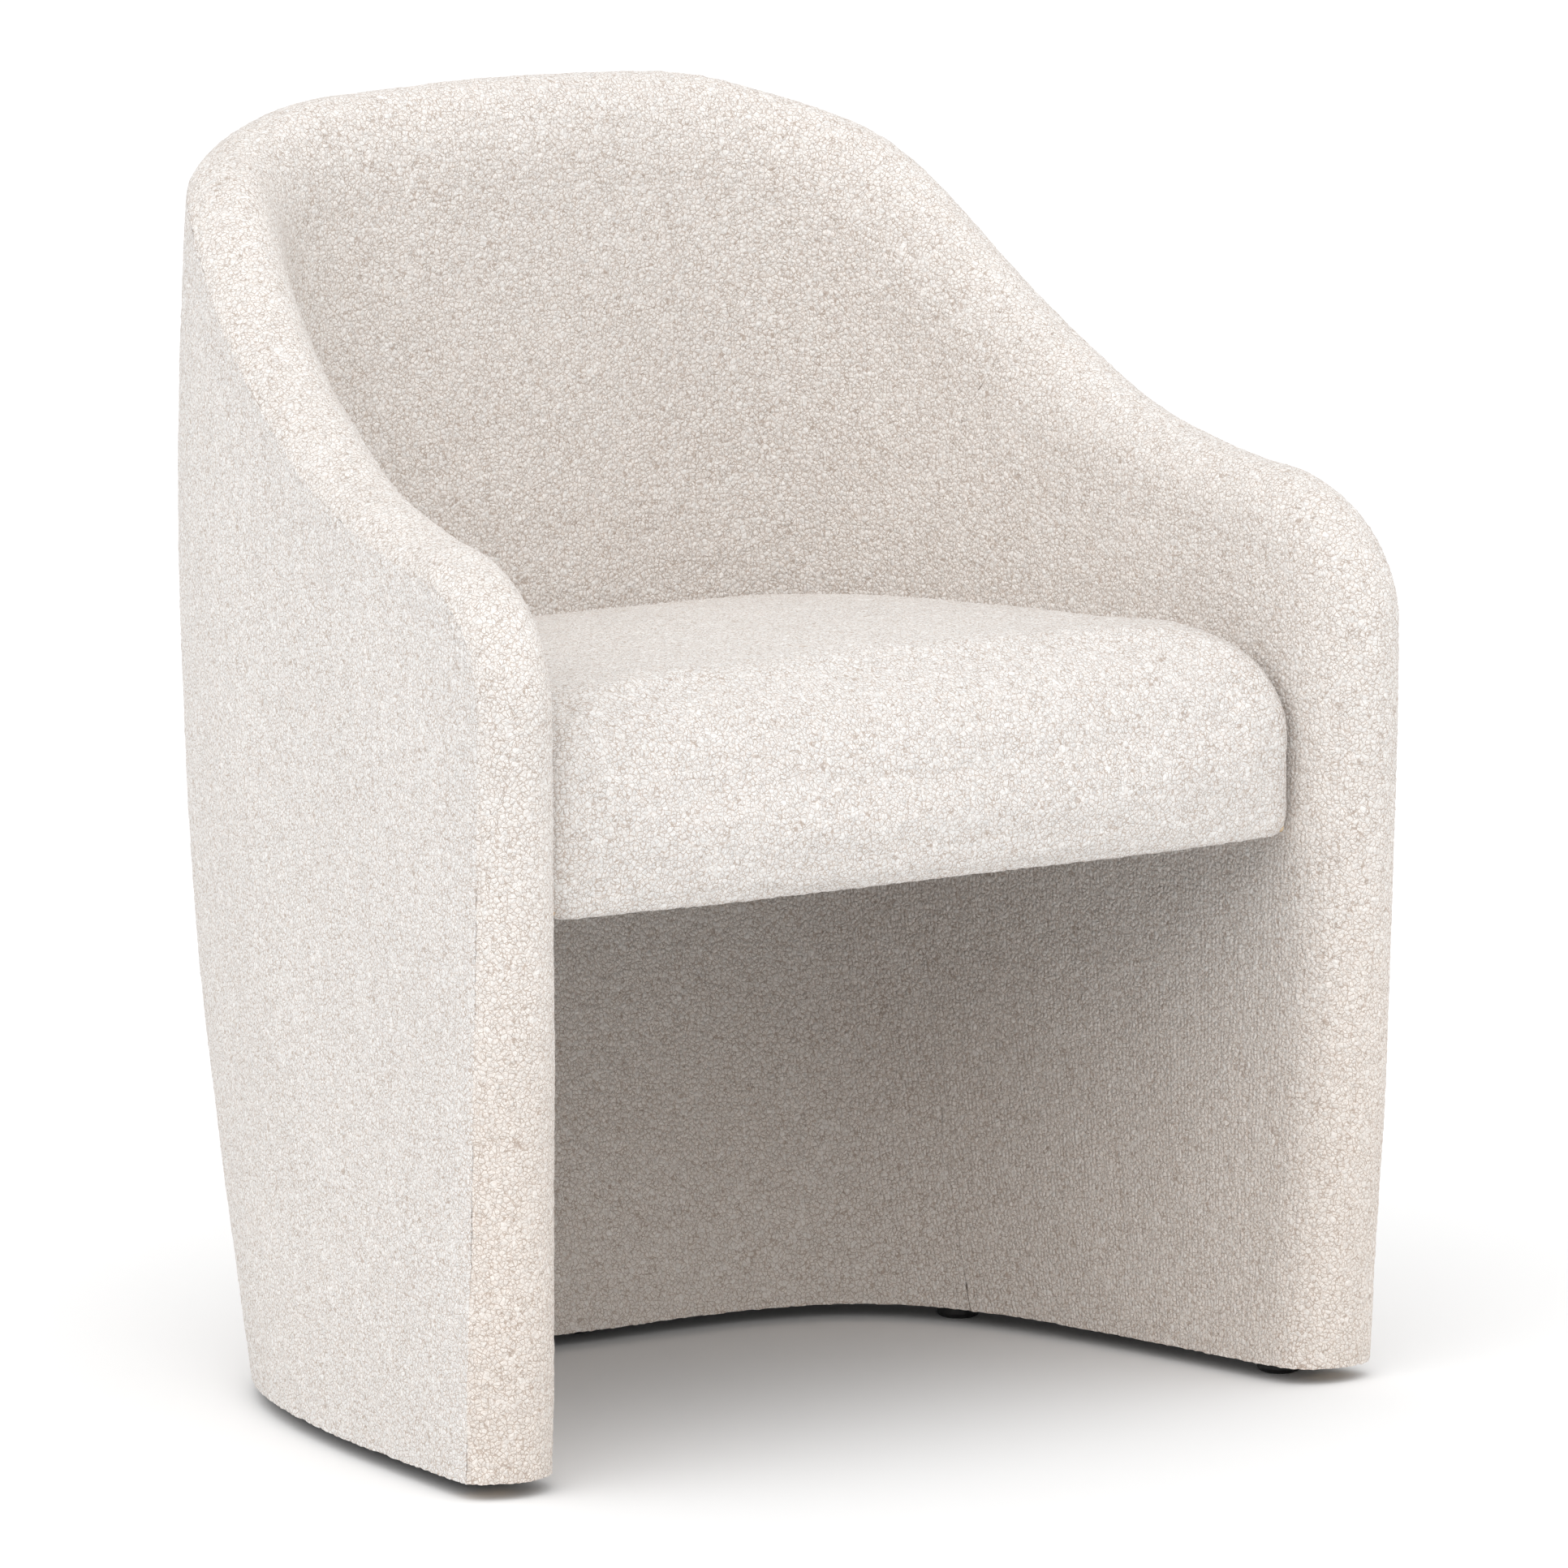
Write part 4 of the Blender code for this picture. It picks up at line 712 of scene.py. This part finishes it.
def loop_surface(obj, salt):
    """Moves points along their normals by loops, clumps and a slow unevenness, and notes the height, which
    the wool's colour turns into painted shade.
    """
    co, normal = coordinates(obj.data)
    height = loops(co, LOOP, salt)
    clump = ripple(co, CLUMP_SIZES[0], salt + 1) * 0.6 + ripple(co, CLUMP_SIZES[1], salt + 2) * 0.4
    slow = ripple(co, SLOW_SIZE, salt + 3)
    move = LOOP_RISE * (height - 0.45) + CLUMP_RISE * clump * 0.5 + SLOW_RISE * slow
    co = co + normal * move[:, None]
    obj.data.vertices.foreach_set("co", co.ravel())
    obj.data.attributes.new("loop_height", "FLOAT", "POINT").data.foreach_set("value", height)
    obj.data.update()


def smooth_faces(obj):
    """Smooth shading on every face."""
    obj.data.polygons.foreach_set("use_smooth", np.ones(len(obj.data.polygons), dtype=bool))


# ---- padding -----------------------------------------------------------------------------
def puff(obj, held, caps):
    """Swells a pad with the cloth solver: pressure inside, no gravity, held points fixed.

    held is a weight for each point (1 fixed) and caps the furthest that each point may move.
    """
    mesh = obj.data
    group = obj.vertex_groups.new(name="held")
    for weight in np.unique(held):
        if weight > 0:
            group.add(np.flatnonzero(held == weight).tolist(), float(weight), "REPLACE")
    before, _ = coordinates(mesh)
    cloth = obj.modifiers.new("cloth", "CLOTH")
    settings = cloth.settings
    settings.quality = 6
    settings.mass = 0.4
    settings.tension_stiffness = 20
    settings.compression_stiffness = 20
    settings.shear_stiffness = 8
    settings.bending_stiffness = 2
    settings.use_pressure = True
    settings.uniform_pressure_force = PUFF_PRESSURE
    settings.vertex_group_mass = group.name
    settings.effector_weights.gravity = 0
    cloth.collision_settings.use_collision = False
    scene = bpy.context.scene
    cloth.point_cache.frame_start = 1
    cloth.point_cache.frame_end = PUFF_FRAMES
    for number in range(1, PUFF_FRAMES + 1):
        scene.frame_set(number)
    deps = bpy.context.evaluated_depsgraph_get()
    after, _ = coordinates(obj.evaluated_get(deps).data)
    obj.modifiers.clear()
    scene.frame_set(1)
    move = np.nan_to_num(after - before)
    size = np.linalg.norm(move, axis=1) + 1e-9
    move *= (np.minimum(size, caps) / size)[:, None]
    mesh.vertices.foreach_set("co", (before + move).ravel())
    mesh.update()


# ---- materials ---------------------------------------------------------------------------
class Nodes:
    """Short way to build a node tree: each method adds one node and returns an output socket."""

    def __init__(self, name):
        self.mat = bpy.data.materials.new(name)
        self.mat.use_nodes = True
        self.tree = self.mat.node_tree
        self.shader = self.tree.nodes["Principled BSDF"]

    def add(self, kind, **values):
        node = self.tree.nodes.new(kind)
        for key, value in values.items():
            setattr(node, key, value)
        return node

    def put(self, socket, value):
        """Links a socket or sets a plain value."""
        if isinstance(value, bpy.types.NodeSocket):
            self.tree.links.new(value, socket)
        else:
            socket.default_value = value

    def place(self):
        return self.add("ShaderNodeTexCoord").outputs["Object"]

    def attribute(self, name, output):
        return self.add("ShaderNodeAttribute", attribute_name=name).outputs[output]

    def math(self, operation, a, b=0.0, clamp=False):
        node = self.add("ShaderNodeMath", operation=operation, use_clamp=clamp)
        self.put(node.inputs[0], a)
        self.put(node.inputs[1], b)
        return node.outputs[0]

    def vector(self, operation, a, b):
        node = self.add("ShaderNodeVectorMath", operation=operation)
        self.put(node.inputs[0], a)
        self.put(node.inputs[1], b)
        return node.outputs[0]

    def scaled(self, a, factor):
        node = self.add("ShaderNodeVectorMath", operation="SCALE")
        self.put(node.inputs[0], a)
        self.put(node.inputs["Scale"], factor)
        return node.outputs[0]

    def noise(self, place, scale, detail=2.0, output="Fac"):
        node = self.add("ShaderNodeTexNoise")
        self.put(node.inputs["Vector"], place)
        self.put(node.inputs["Scale"], scale)
        self.put(node.inputs["Detail"], detail)
        return node.outputs[output]

    def cells(self, place, scale):
        """Distance to the nearest cell point, and that cell's random colour."""
        node = self.add("ShaderNodeTexVoronoi")
        self.put(node.inputs["Vector"], place)
        self.put(node.inputs["Scale"], scale)
        return node.outputs["Distance"], node.outputs["Color"]

    def cell_edges(self, place, scale):
        """Distance to the border between the two nearest cells."""
        node = self.add("ShaderNodeTexVoronoi", feature="DISTANCE_TO_EDGE")
        self.put(node.inputs["Vector"], place)
        self.put(node.inputs["Scale"], scale)
        return node.outputs["Distance"]

    def ramp(self, value, low, high, to_low=0.0, to_high=1.0):
        node = self.add("ShaderNodeMapRange", interpolation_type="SMOOTHSTEP")
        for key, v in (("Value", value), ("From Min", low), ("From Max", high), ("To Min", to_low),
                       ("To Max", to_high)):
            self.put(node.inputs[key], v)
        return node.outputs[0]

    def mix(self, factor, a, b, blend="MIX"):
        node = self.add("ShaderNodeMix", data_type="RGBA", blend_type=blend)
        self.put(node.inputs["Factor"], factor)
        self.put(node.inputs[6], a)
        self.put(node.inputs[7], b)
        return node.outputs[2]

    def bump(self, height, strength, distance):
        node = self.add("ShaderNodeBump")
        self.put(node.inputs["Height"], height)
        self.put(node.inputs["Strength"], strength)
        self.put(node.inputs["Distance"], distance)
        self.tree.links.new(node.outputs[0], self.shader.inputs["Normal"])

    def set(self, **values):
        for key, value in values.items():
            self.put(self.shader.inputs[key.replace("_", " ")], value)


def color(r, g, b):
    """Opaque linear colour."""
    return (r, g, b, 1.0)


def boucle(name, rows, yarn, low):
    """Looped wool: domed yarn loops of two sizes parted by thin lines of painted shade, tinted loop by loop.

    rows is how strongly the knit's upright rows show through, yarn the loops' colour, and low the
    colour of the painted shade that comes in towards the floor.
    """
    n = Nodes(name)
    place = n.place()
    warp = n.noise(place, 190.0, 2.0, "Color")
    place_2 = n.vector("ADD", place, n.scaled(n.vector("SUBTRACT", warp, (0.5, 0.5, 0.5)), 0.0042))
    far, tint = n.cells(place_2, 1 / YARN_LOOP)
    edge = n.cell_edges(place_2, 1 / YARN_LOOP)
    far_small, tint_small = n.cells(place_2, 1 / SMALL_LOOP)
    edge_small = n.cell_edges(place_2, 1 / SMALL_LOOP)
    fibre = n.noise(place_2, 1500.0, 3.0)
    dome = n.ramp(far, 0.05, 0.75, 1.0, 0.0)
    small = n.ramp(far_small, 0.05, 0.75, 1.0, 0.0)
    height = n.math("ADD", n.math("MULTIPLY", dome, 0.60), n.math("MULTIPLY", small, 0.28))
    height = n.math("ADD", height, n.math("MULTIPLY", fibre, 0.16))
    along = n.add("ShaderNodeSeparateXYZ")
    n.put(along.inputs[0], n.attribute("cloth", "Vector"))
    sway = n.math("MULTIPLY", n.noise(place, 60.0, 2.0), 0.0035)
    row = n.math("SINE", n.math("MULTIPLY", n.math("ADD", along.outputs["X"], sway), 2 * math.pi / ROW))
    height = n.math("ADD", height, n.math("MULTIPLY", row, 0.10 * rows))
    n.bump(height, 0.75, 0.0015)
    # Painted shade in the gaps between loops: along the cells' borders the yarn is darkened towards brown.
    gap_shade = n.ramp(edge, 0.0, 0.12, 0.0, 1.0)
    small_gap_shade = n.ramp(edge_small, 0.0, 0.11, 0.45, 1.0)
    gap_shade = n.math("MULTIPLY", gap_shade, small_gap_shade)
    body = n.mix(gap_shade, color(0.490, 0.410, 0.355), color(*yarn))
    pick = n.add("ShaderNodeSeparateColor")
    n.put(pick.inputs[0], tint)
    pick_small = n.add("ShaderNodeSeparateColor")
    n.put(pick_small.inputs[0], tint_small)
    body = n.mix(n.ramp(pick.outputs[0], 0.70, 1.0, 0.0, 0.50), body, color(0.945, 0.935, 0.915))
    body = n.mix(n.ramp(pick_small.outputs[1], 0.60, 1.0, 0.0, 0.30), body, color(0.770, 0.690, 0.630))
    # Painted shade and light by loop height: the surface's low parts darker, the loops' tops a little
    # lighter; patchy is a random tone.
    lift = n.ramp(n.attribute("loop_height", "Fac"), 0.0, 0.8, 0.95, 1.02)
    patchy = n.ramp(n.noise(place, 9.0, 3.0), 0.3, 0.7, 0.98, 1.01)
    painted_shade_and_patches = n.math("MULTIPLY", lift, patchy)
    grey = n.add("ShaderNodeCombineColor")
    for k in range(3):
        n.put(grey.inputs[k], painted_shade_and_patches)
    body = n.mix(1.0, body, grey.outputs[0], "MULTIPLY")
    # Painted shade in the seams' folds: where the fabric is folded in, it is darkened towards a dark brown.
    seam = n.ramp(along.outputs["Z"], 0.0002, 0.0020, 0.0, 0.65)
    body = n.mix(seam, body, color(0.30, 0.25, 0.21))
    # Painted shade towards the floor: below 0.46 m the colour is multiplied by low, fully so below 0.12 m.
    above = n.add("ShaderNodeSeparateXYZ")
    n.put(above.inputs[0], place)
    down = n.ramp(above.outputs["Z"], 0.12, 0.46, 1.0, 0.0)
    body = n.mix(down, body, n.mix(1.0, body, color(*low), "MULTIPLY"))
    n.set(Base_Color=body, Roughness=0.95, Specular_IOR_Level=0.15, Sheen_Weight=0.20, Sheen_Roughness=0.5)
    n.shader.inputs["Sheen Tint"].default_value = color(1.0, 0.98, 0.95)
    return n.mat


def timber(name):
    """Plywood: pale plies with drifting grain."""
    n = Nodes(name)
    place = n.place()
    stretched = n.vector("MULTIPLY", place, (1.0, 1.0, 9.0))
    grain = n.noise(stretched, 60.0, 6.0)
    ply = n.add("ShaderNodeTexWave", wave_type="BANDS", bands_direction="Z")
    n.put(ply.inputs["Vector"], place)
    n.put(ply.inputs["Scale"], 110.0)
    n.put(ply.inputs["Distortion"], 1.5)
    tone = n.mix(n.ramp(grain, 0.3, 0.75), color(0.60, 0.42, 0.24), color(0.76, 0.60, 0.40))
    tone = n.mix(n.ramp(ply.outputs["Fac"], 0.4, 0.9, 0.0, 0.25), tone, color(0.42, 0.28, 0.15))
    n.set(Base_Color=tone, Roughness=n.ramp(grain, 0.2, 0.8, 0.50, 0.70))
    n.bump(grain, 0.25, 0.0006)
    return n.mat


def hardboard(name):
    """Brown pressed board with short fibres."""
    n = Nodes(name)
    fibre = n.noise(n.place(), 420.0, 5.0)
    blot = n.noise(n.place(), 25.0, 3.0)
    tone = n.mix(n.ramp(fibre, 0.3, 0.7), color(0.20, 0.12, 0.065), color(0.36, 0.23, 0.13))
    tone = n.mix(n.ramp(blot, 0.4, 0.8, 0.0, 0.35), tone, color(0.27, 0.16, 0.09))
    n.set(Base_Color=tone, Roughness=n.ramp(fibre, 0.2, 0.8, 0.60, 0.80))
    n.bump(fibre, 0.3, 0.0004)
    return n.mat


def webbing(name):
    """Black elastic webbing: crossed ribs with grey thread."""
    n = Nodes(name)
    cross = n.add("ShaderNodeTexWave", wave_type="BANDS", bands_direction="Y")
    n.put(cross.inputs["Vector"], n.place())
    n.put(cross.inputs["Scale"], 180.0)
    n.put(cross.inputs["Distortion"], 0.6)
    rib = n.add("ShaderNodeTexWave", wave_type="BANDS", bands_direction="X")
    n.put(rib.inputs["Vector"], n.place())
    n.put(rib.inputs["Scale"], 90.0)
    weave = n.math("MULTIPLY", cross.outputs["Fac"], rib.outputs["Fac"])
    tone = n.mix(n.ramp(weave, 0.3, 0.9), color(0.018, 0.018, 0.018), color(0.085, 0.083, 0.080))
    n.set(Base_Color=tone, Roughness=n.ramp(weave, 0.0, 1.0, 0.85, 0.65))
    n.bump(weave, 0.5, 0.0005)
    return n.mat


def dust_cloth(name):
    """Black non-woven cloth: bonded fibres with small pressed dots."""
    n = Nodes(name)
    fibre = n.noise(n.place(), 700.0, 4.0)
    far, _ = n.cells(n.place(), 420.0)
    dots = n.ramp(far, 0.18, 0.34)
    tone = n.mix(n.ramp(fibre, 0.3, 0.75), color(0.012, 0.012, 0.013), color(0.045, 0.045, 0.046))
    n.set(Base_Color=tone, Roughness=n.ramp(fibre, 0.2, 0.8, 0.80, 0.95))
    n.bump(n.math("ADD", n.math("MULTIPLY", dots, 0.6), n.math("MULTIPLY", fibre, 0.4)), 0.5, 0.0004)
    return n.mat


def steel(name):
    """Zinc-plated steel with fine turning marks and a faint cloudiness."""
    n = Nodes(name)
    cloud = n.noise(n.place(), 160.0, 4.0)
    marks = n.noise(n.vector("MULTIPLY", n.place(), (12.0, 1.0, 1.0)), 900.0, 2.0)
    tone = n.mix(n.ramp(cloud, 0.3, 0.7), color(0.50, 0.50, 0.51), color(0.66, 0.66, 0.64))
    n.set(Base_Color=tone, Metallic=1.0, Roughness=n.ramp(cloud, 0.2, 0.8, 0.28, 0.45))
    n.bump(marks, 0.15, 0.0002)
    return n.mat


def black_plastic(name):
    """Moulded black plastic: fine grained skin, scuffed a little paler."""
    n = Nodes(name)
    skin = n.noise(n.place(), 1300.0, 3.0)
    scuff = n.noise(n.place(), 240.0, 5.0)
    tone = n.mix(n.ramp(scuff, 0.55, 0.85, 0.0, 0.5), color(0.014, 0.014, 0.014), color(0.055, 0.053, 0.050))
    n.set(Base_Color=tone, Roughness=n.ramp(scuff, 0.3, 0.8, 0.38, 0.60))
    n.bump(skin, 0.2, 0.0002)
    return n.mat


# ---- pieces ------------------------------------------------------------------------------
def outward_from_room(point):
    """Direction away from the chair's middle, in plan."""
    away = point.copy()
    away.z = 0.0
    return away


def into_room(point):
    """Direction towards the chair's middle, in plan."""
    return -outward_from_room(point)


def finish_piece(obj, nodes, material):
    """Hands a finished upholstery piece to the frame."""
    smooth_faces(obj)
    obj.data.materials.clear()
    obj.data.materials.append(material)
    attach(obj, "root")
    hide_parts(*nodes)


def wall_piece(name, grids, facing, nodes, material, salt):
    """One wall panel: cage, subdivision, loops."""
    obj = panel_object(name, grids, facing)
    subdivide(obj, 2)
    loop_surface(obj, salt)
    finish_piece(obj, nodes, material)


def seat_piece(material):
    """The seat pad: cage, cloth swelling held at its lower edge, subdivision, loops."""
    facing = Facing(lambda p: p.z, lambda p: p * 0 + UP)
    obj = panel_object("seat_pad", seat_grids(), facing)
    co, normal = coordinates(obj.data)
    held = np.where(co[:, 2] < SEAT_Z + PUFF_HELD, 1.0, 0.0)
    front = np.clip((PUFF_FRONT_Y - co[:, 1]) / PUFF_FRONT_RUN, 0, 1)
    up = np.clip(normal[:, 2], 0, 1)
    free = np.clip(np.maximum(front, up), 0, 1) * np.clip((co[:, 2] - SEAT_Z) / PUFF_FROM, 0, 1)
    caps = PUFF_LEAST + PUFF_REACH * free
    puff(obj, held, caps)
    subdivide(obj, 1)
    loop_surface(obj, SEED + 50)
    finish_piece(obj, ("seat_cover", "seat_foam"), material)


def sheet_object(name, grid, nodes, material):
    """One thin cloth from a grid of points, looking down, thickened by a modifier."""
    facing = Facing(lambda p: -abs(p.x) - abs(p.y), lambda p: p * 0 - UP)
    obj = panel_object(name, [(grid, grid)], facing)
    mod = obj.modifiers.new("thickness", "SOLIDIFY")
    mod.thickness = SHEET_T
    mod.offset = 0.0
    smooth_faces(obj)
    obj.data.materials.append(material)
    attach(obj, "root")
    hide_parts(*nodes)
    return obj


def seat_sheet(material):
    """The cloth stretched under the seat: its outline filled by a Coons patch that sags in the middle.

    Sag is c (1 - p^2)(1 - q^2), p and q running from -1 to 1 across and along.
    """
    width, deep = (int(size / SHEET_CELL) // 2 * 2 for size in SEAT_SIZE)
    ring = seat_outline(SEAT_Z, (width, deep))
    middle = np.array([0.0, SEAT_MIDDLE_Y + Y_SHIFT, 0.0])
    out = (ring - middle)[:, :2]
    ring[:, :2] -= out / np.linalg.norm(out, axis=1)[:, None] * SEAT_SHEET_INSET
    ring[:, 2] = SEAT_SHEET_Z
    first = 2 * deep + width
    right = ring[:deep + 1]
    back = ring[deep:deep + width + 1][::-1]
    left = ring[deep + width:first + 1][::-1]
    front = np.concatenate([ring[first:], ring[:1]])
    u = np.linspace(0, 1, width + 1)
    v = np.linspace(0, 1, deep + 1)
    patch = coons(left, back, right, front, u, v)
    p = 2 * u[None] - 1
    q = 2 * v[:, None] - 1
    patch[..., 2] -= SEAT_SHEET_SAG * (1 - p * p) * (1 - q * q)
    obj = sheet_object("seat_dust_cloth", patch, ("seat_bottom_cloth",), material)


def base_sheet(material):
    """The cloth stretched under the wall: a U-shaped band, rippled a little between its fixings.

    The ripple is c sin(2 pi s / length) (1 - p^2), p running from -1 to 1 across the band.
    """
    run = spaced(CREST_IN_R, 2 * HALF - CREST_IN_R, SHEET_CELL)
    across = np.linspace(-1.0, 1.0, BASE_ROWS)[:, None]
    half = thickness(HALF - run, BASE_SHEET_Z) / 2 - BASE_SHEET_EDGE
    wave = np.sin(run * 2 * math.pi / BASE_RIPPLE_LENGTH)[None] * (1 - across ** 2)
    grid = wall((HALF - run)[None], np.full((BASE_ROWS, len(run)), BASE_SHEET_Z), across * half[None])
    grid[..., 2] += BASE_RIPPLE * wave
    obj = sheet_object("base_dust_cloth", grid, ("base_cloth",), material)


def main_pieces():
    """Builds every upholstery piece."""
    # The last colour given to each wool is that of its painted shade towards the floor.
    wool = boucle("boucle wool", 0.6, (0.905, 0.892, 0.878), (0.99, 0.985, 0.98))
    lining = boucle("boucle wool of the linings", 1.0, (0.922, 0.893, 0.862), (0.965, 0.930, 0.90))
    inner = Facing(lambda p: -abs(p.z - 0.3) - abs(abs(p.x) - 0.25), into_room)
    inner_back = Facing(lambda p: -abs(p.z - 0.4) - abs(p.x), lambda p: p * 0 - BACKWARD)
    outer = Facing(lambda p: -abs(p.z - 0.3) - abs(p.y), outward_from_room)
    outer_back = Facing(lambda p: -abs(p.z - 0.3) - abs(p.x), lambda p: p * 0 + BACKWARD)
    for number, (side, sign) in enumerate((("left", -1), ("right", 1))):
        wall_piece("inside_arm_" + side, arm_panel(sign), inner,
                   ("arm_cover_" + side, "arm_foam_" + side), lining, SEED + number)
        wall_piece("outside_arm_" + side, outside_arm_panel(sign), outer,
                   ("outside_arm_cover_" + side,), wool, SEED + 10 + number)
    wall_piece("inside_back", back_panel(), inner_back, ("back_cover", "back_foam"), lining,
               SEED + 20)
    wall_piece("outside_back", outside_back_panel(), outer_back, ("outside_back_cover",), wool,
               SEED + 30)
    # The seat's yarn is a little darker than the outside wool's: painted shade on the seat.
    seat_piece(boucle("boucle wool of the seat", 0.6, (0.880, 0.864, 0.846), (0.99, 0.985, 0.98)))
    black = dust_cloth("dust cloth")
    seat_sheet(black)
    base_sheet(black)


# ---- stage -------------------------------------------------------------------------------
def build_stage():
    """Plain pale floor, an even pale surround, two wide soft suns and the camera."""
    mesh = bpy.data.meshes.new("floor")
    r = FLOOR_REACH
    mesh.from_pydata([(-r, -r, 0), (r, -r, 0), (r, r, 0), (-r, r, 0)], [], [(0, 1, 2, 3)])
    floor = bpy.data.objects.new("floor", mesh)
    bpy.context.scene.collection.objects.link(floor)
    n = Nodes("pale floor")
    n.set(Base_Color=color(0.93, 0.93, 0.93), Roughness=1.0, Specular_IOR_Level=0.0)
    floor.data.materials.append(n.mat)

    world = bpy.data.worlds.new("studio")
    bpy.context.scene.world = world
    world.use_nodes = True
    world.node_tree.nodes["Background"].inputs["Color"].default_value = color(1.0, 1.0, 1.0)
    world.node_tree.nodes["Background"].inputs["Strength"].default_value = WORLD_STRENGTH

    for name, strength, way in (("key", KEY_STRENGTH, KEY_FROM), ("fill", FILL_STRENGTH, FILL_FROM)):
        light = bpy.data.lights.new(name, "SUN")
        light.energy = strength
        light.angle = math.radians(KEY_ANGLE)
        sun = bpy.data.objects.new(name, light)
        bpy.context.scene.collection.objects.link(sun)
        sun.rotation_euler = Vector(way).to_track_quat("Z", "Y").to_euler()

    lens = bpy.data.cameras.new("camera")
    lens.lens = LENS
    lens.sensor_width = SENSOR
    lens.clip_end = CLIP_END
    camera = bpy.data.objects.new("camera", lens)
    bpy.context.scene.collection.objects.link(camera)
    camera.location = CAMERA_AT
    aim = Vector(CAMERA_TARGET) - Vector(CAMERA_AT)
    camera.rotation_euler = aim.to_track_quat("-Z", "Y").to_euler()
    bpy.context.scene.camera = camera
    bpy.context.scene.view_settings.view_transform = "Standard"


def carry_over():
    """Procedural finishes for the frame, straps, bolts, nails and glides."""
    by_slot = {"frame_timber": timber("plywood"), "lining_board": hardboard("hardboard"),
               "webbing": webbing("elastic webbing"), "steel": steel("plated steel"),
               "glide_plastic": black_plastic("black plastic")}
    for entry in frame["record"]["subparts"]:
        node = frame["nodes"][entry["node"]]
        finish = by_slot.get(entry["material_slot"])
        if finish is not None:
            node.data.materials.clear()
            node.data.materials.append(finish)


main_pieces()
carry_over()
build_stage()
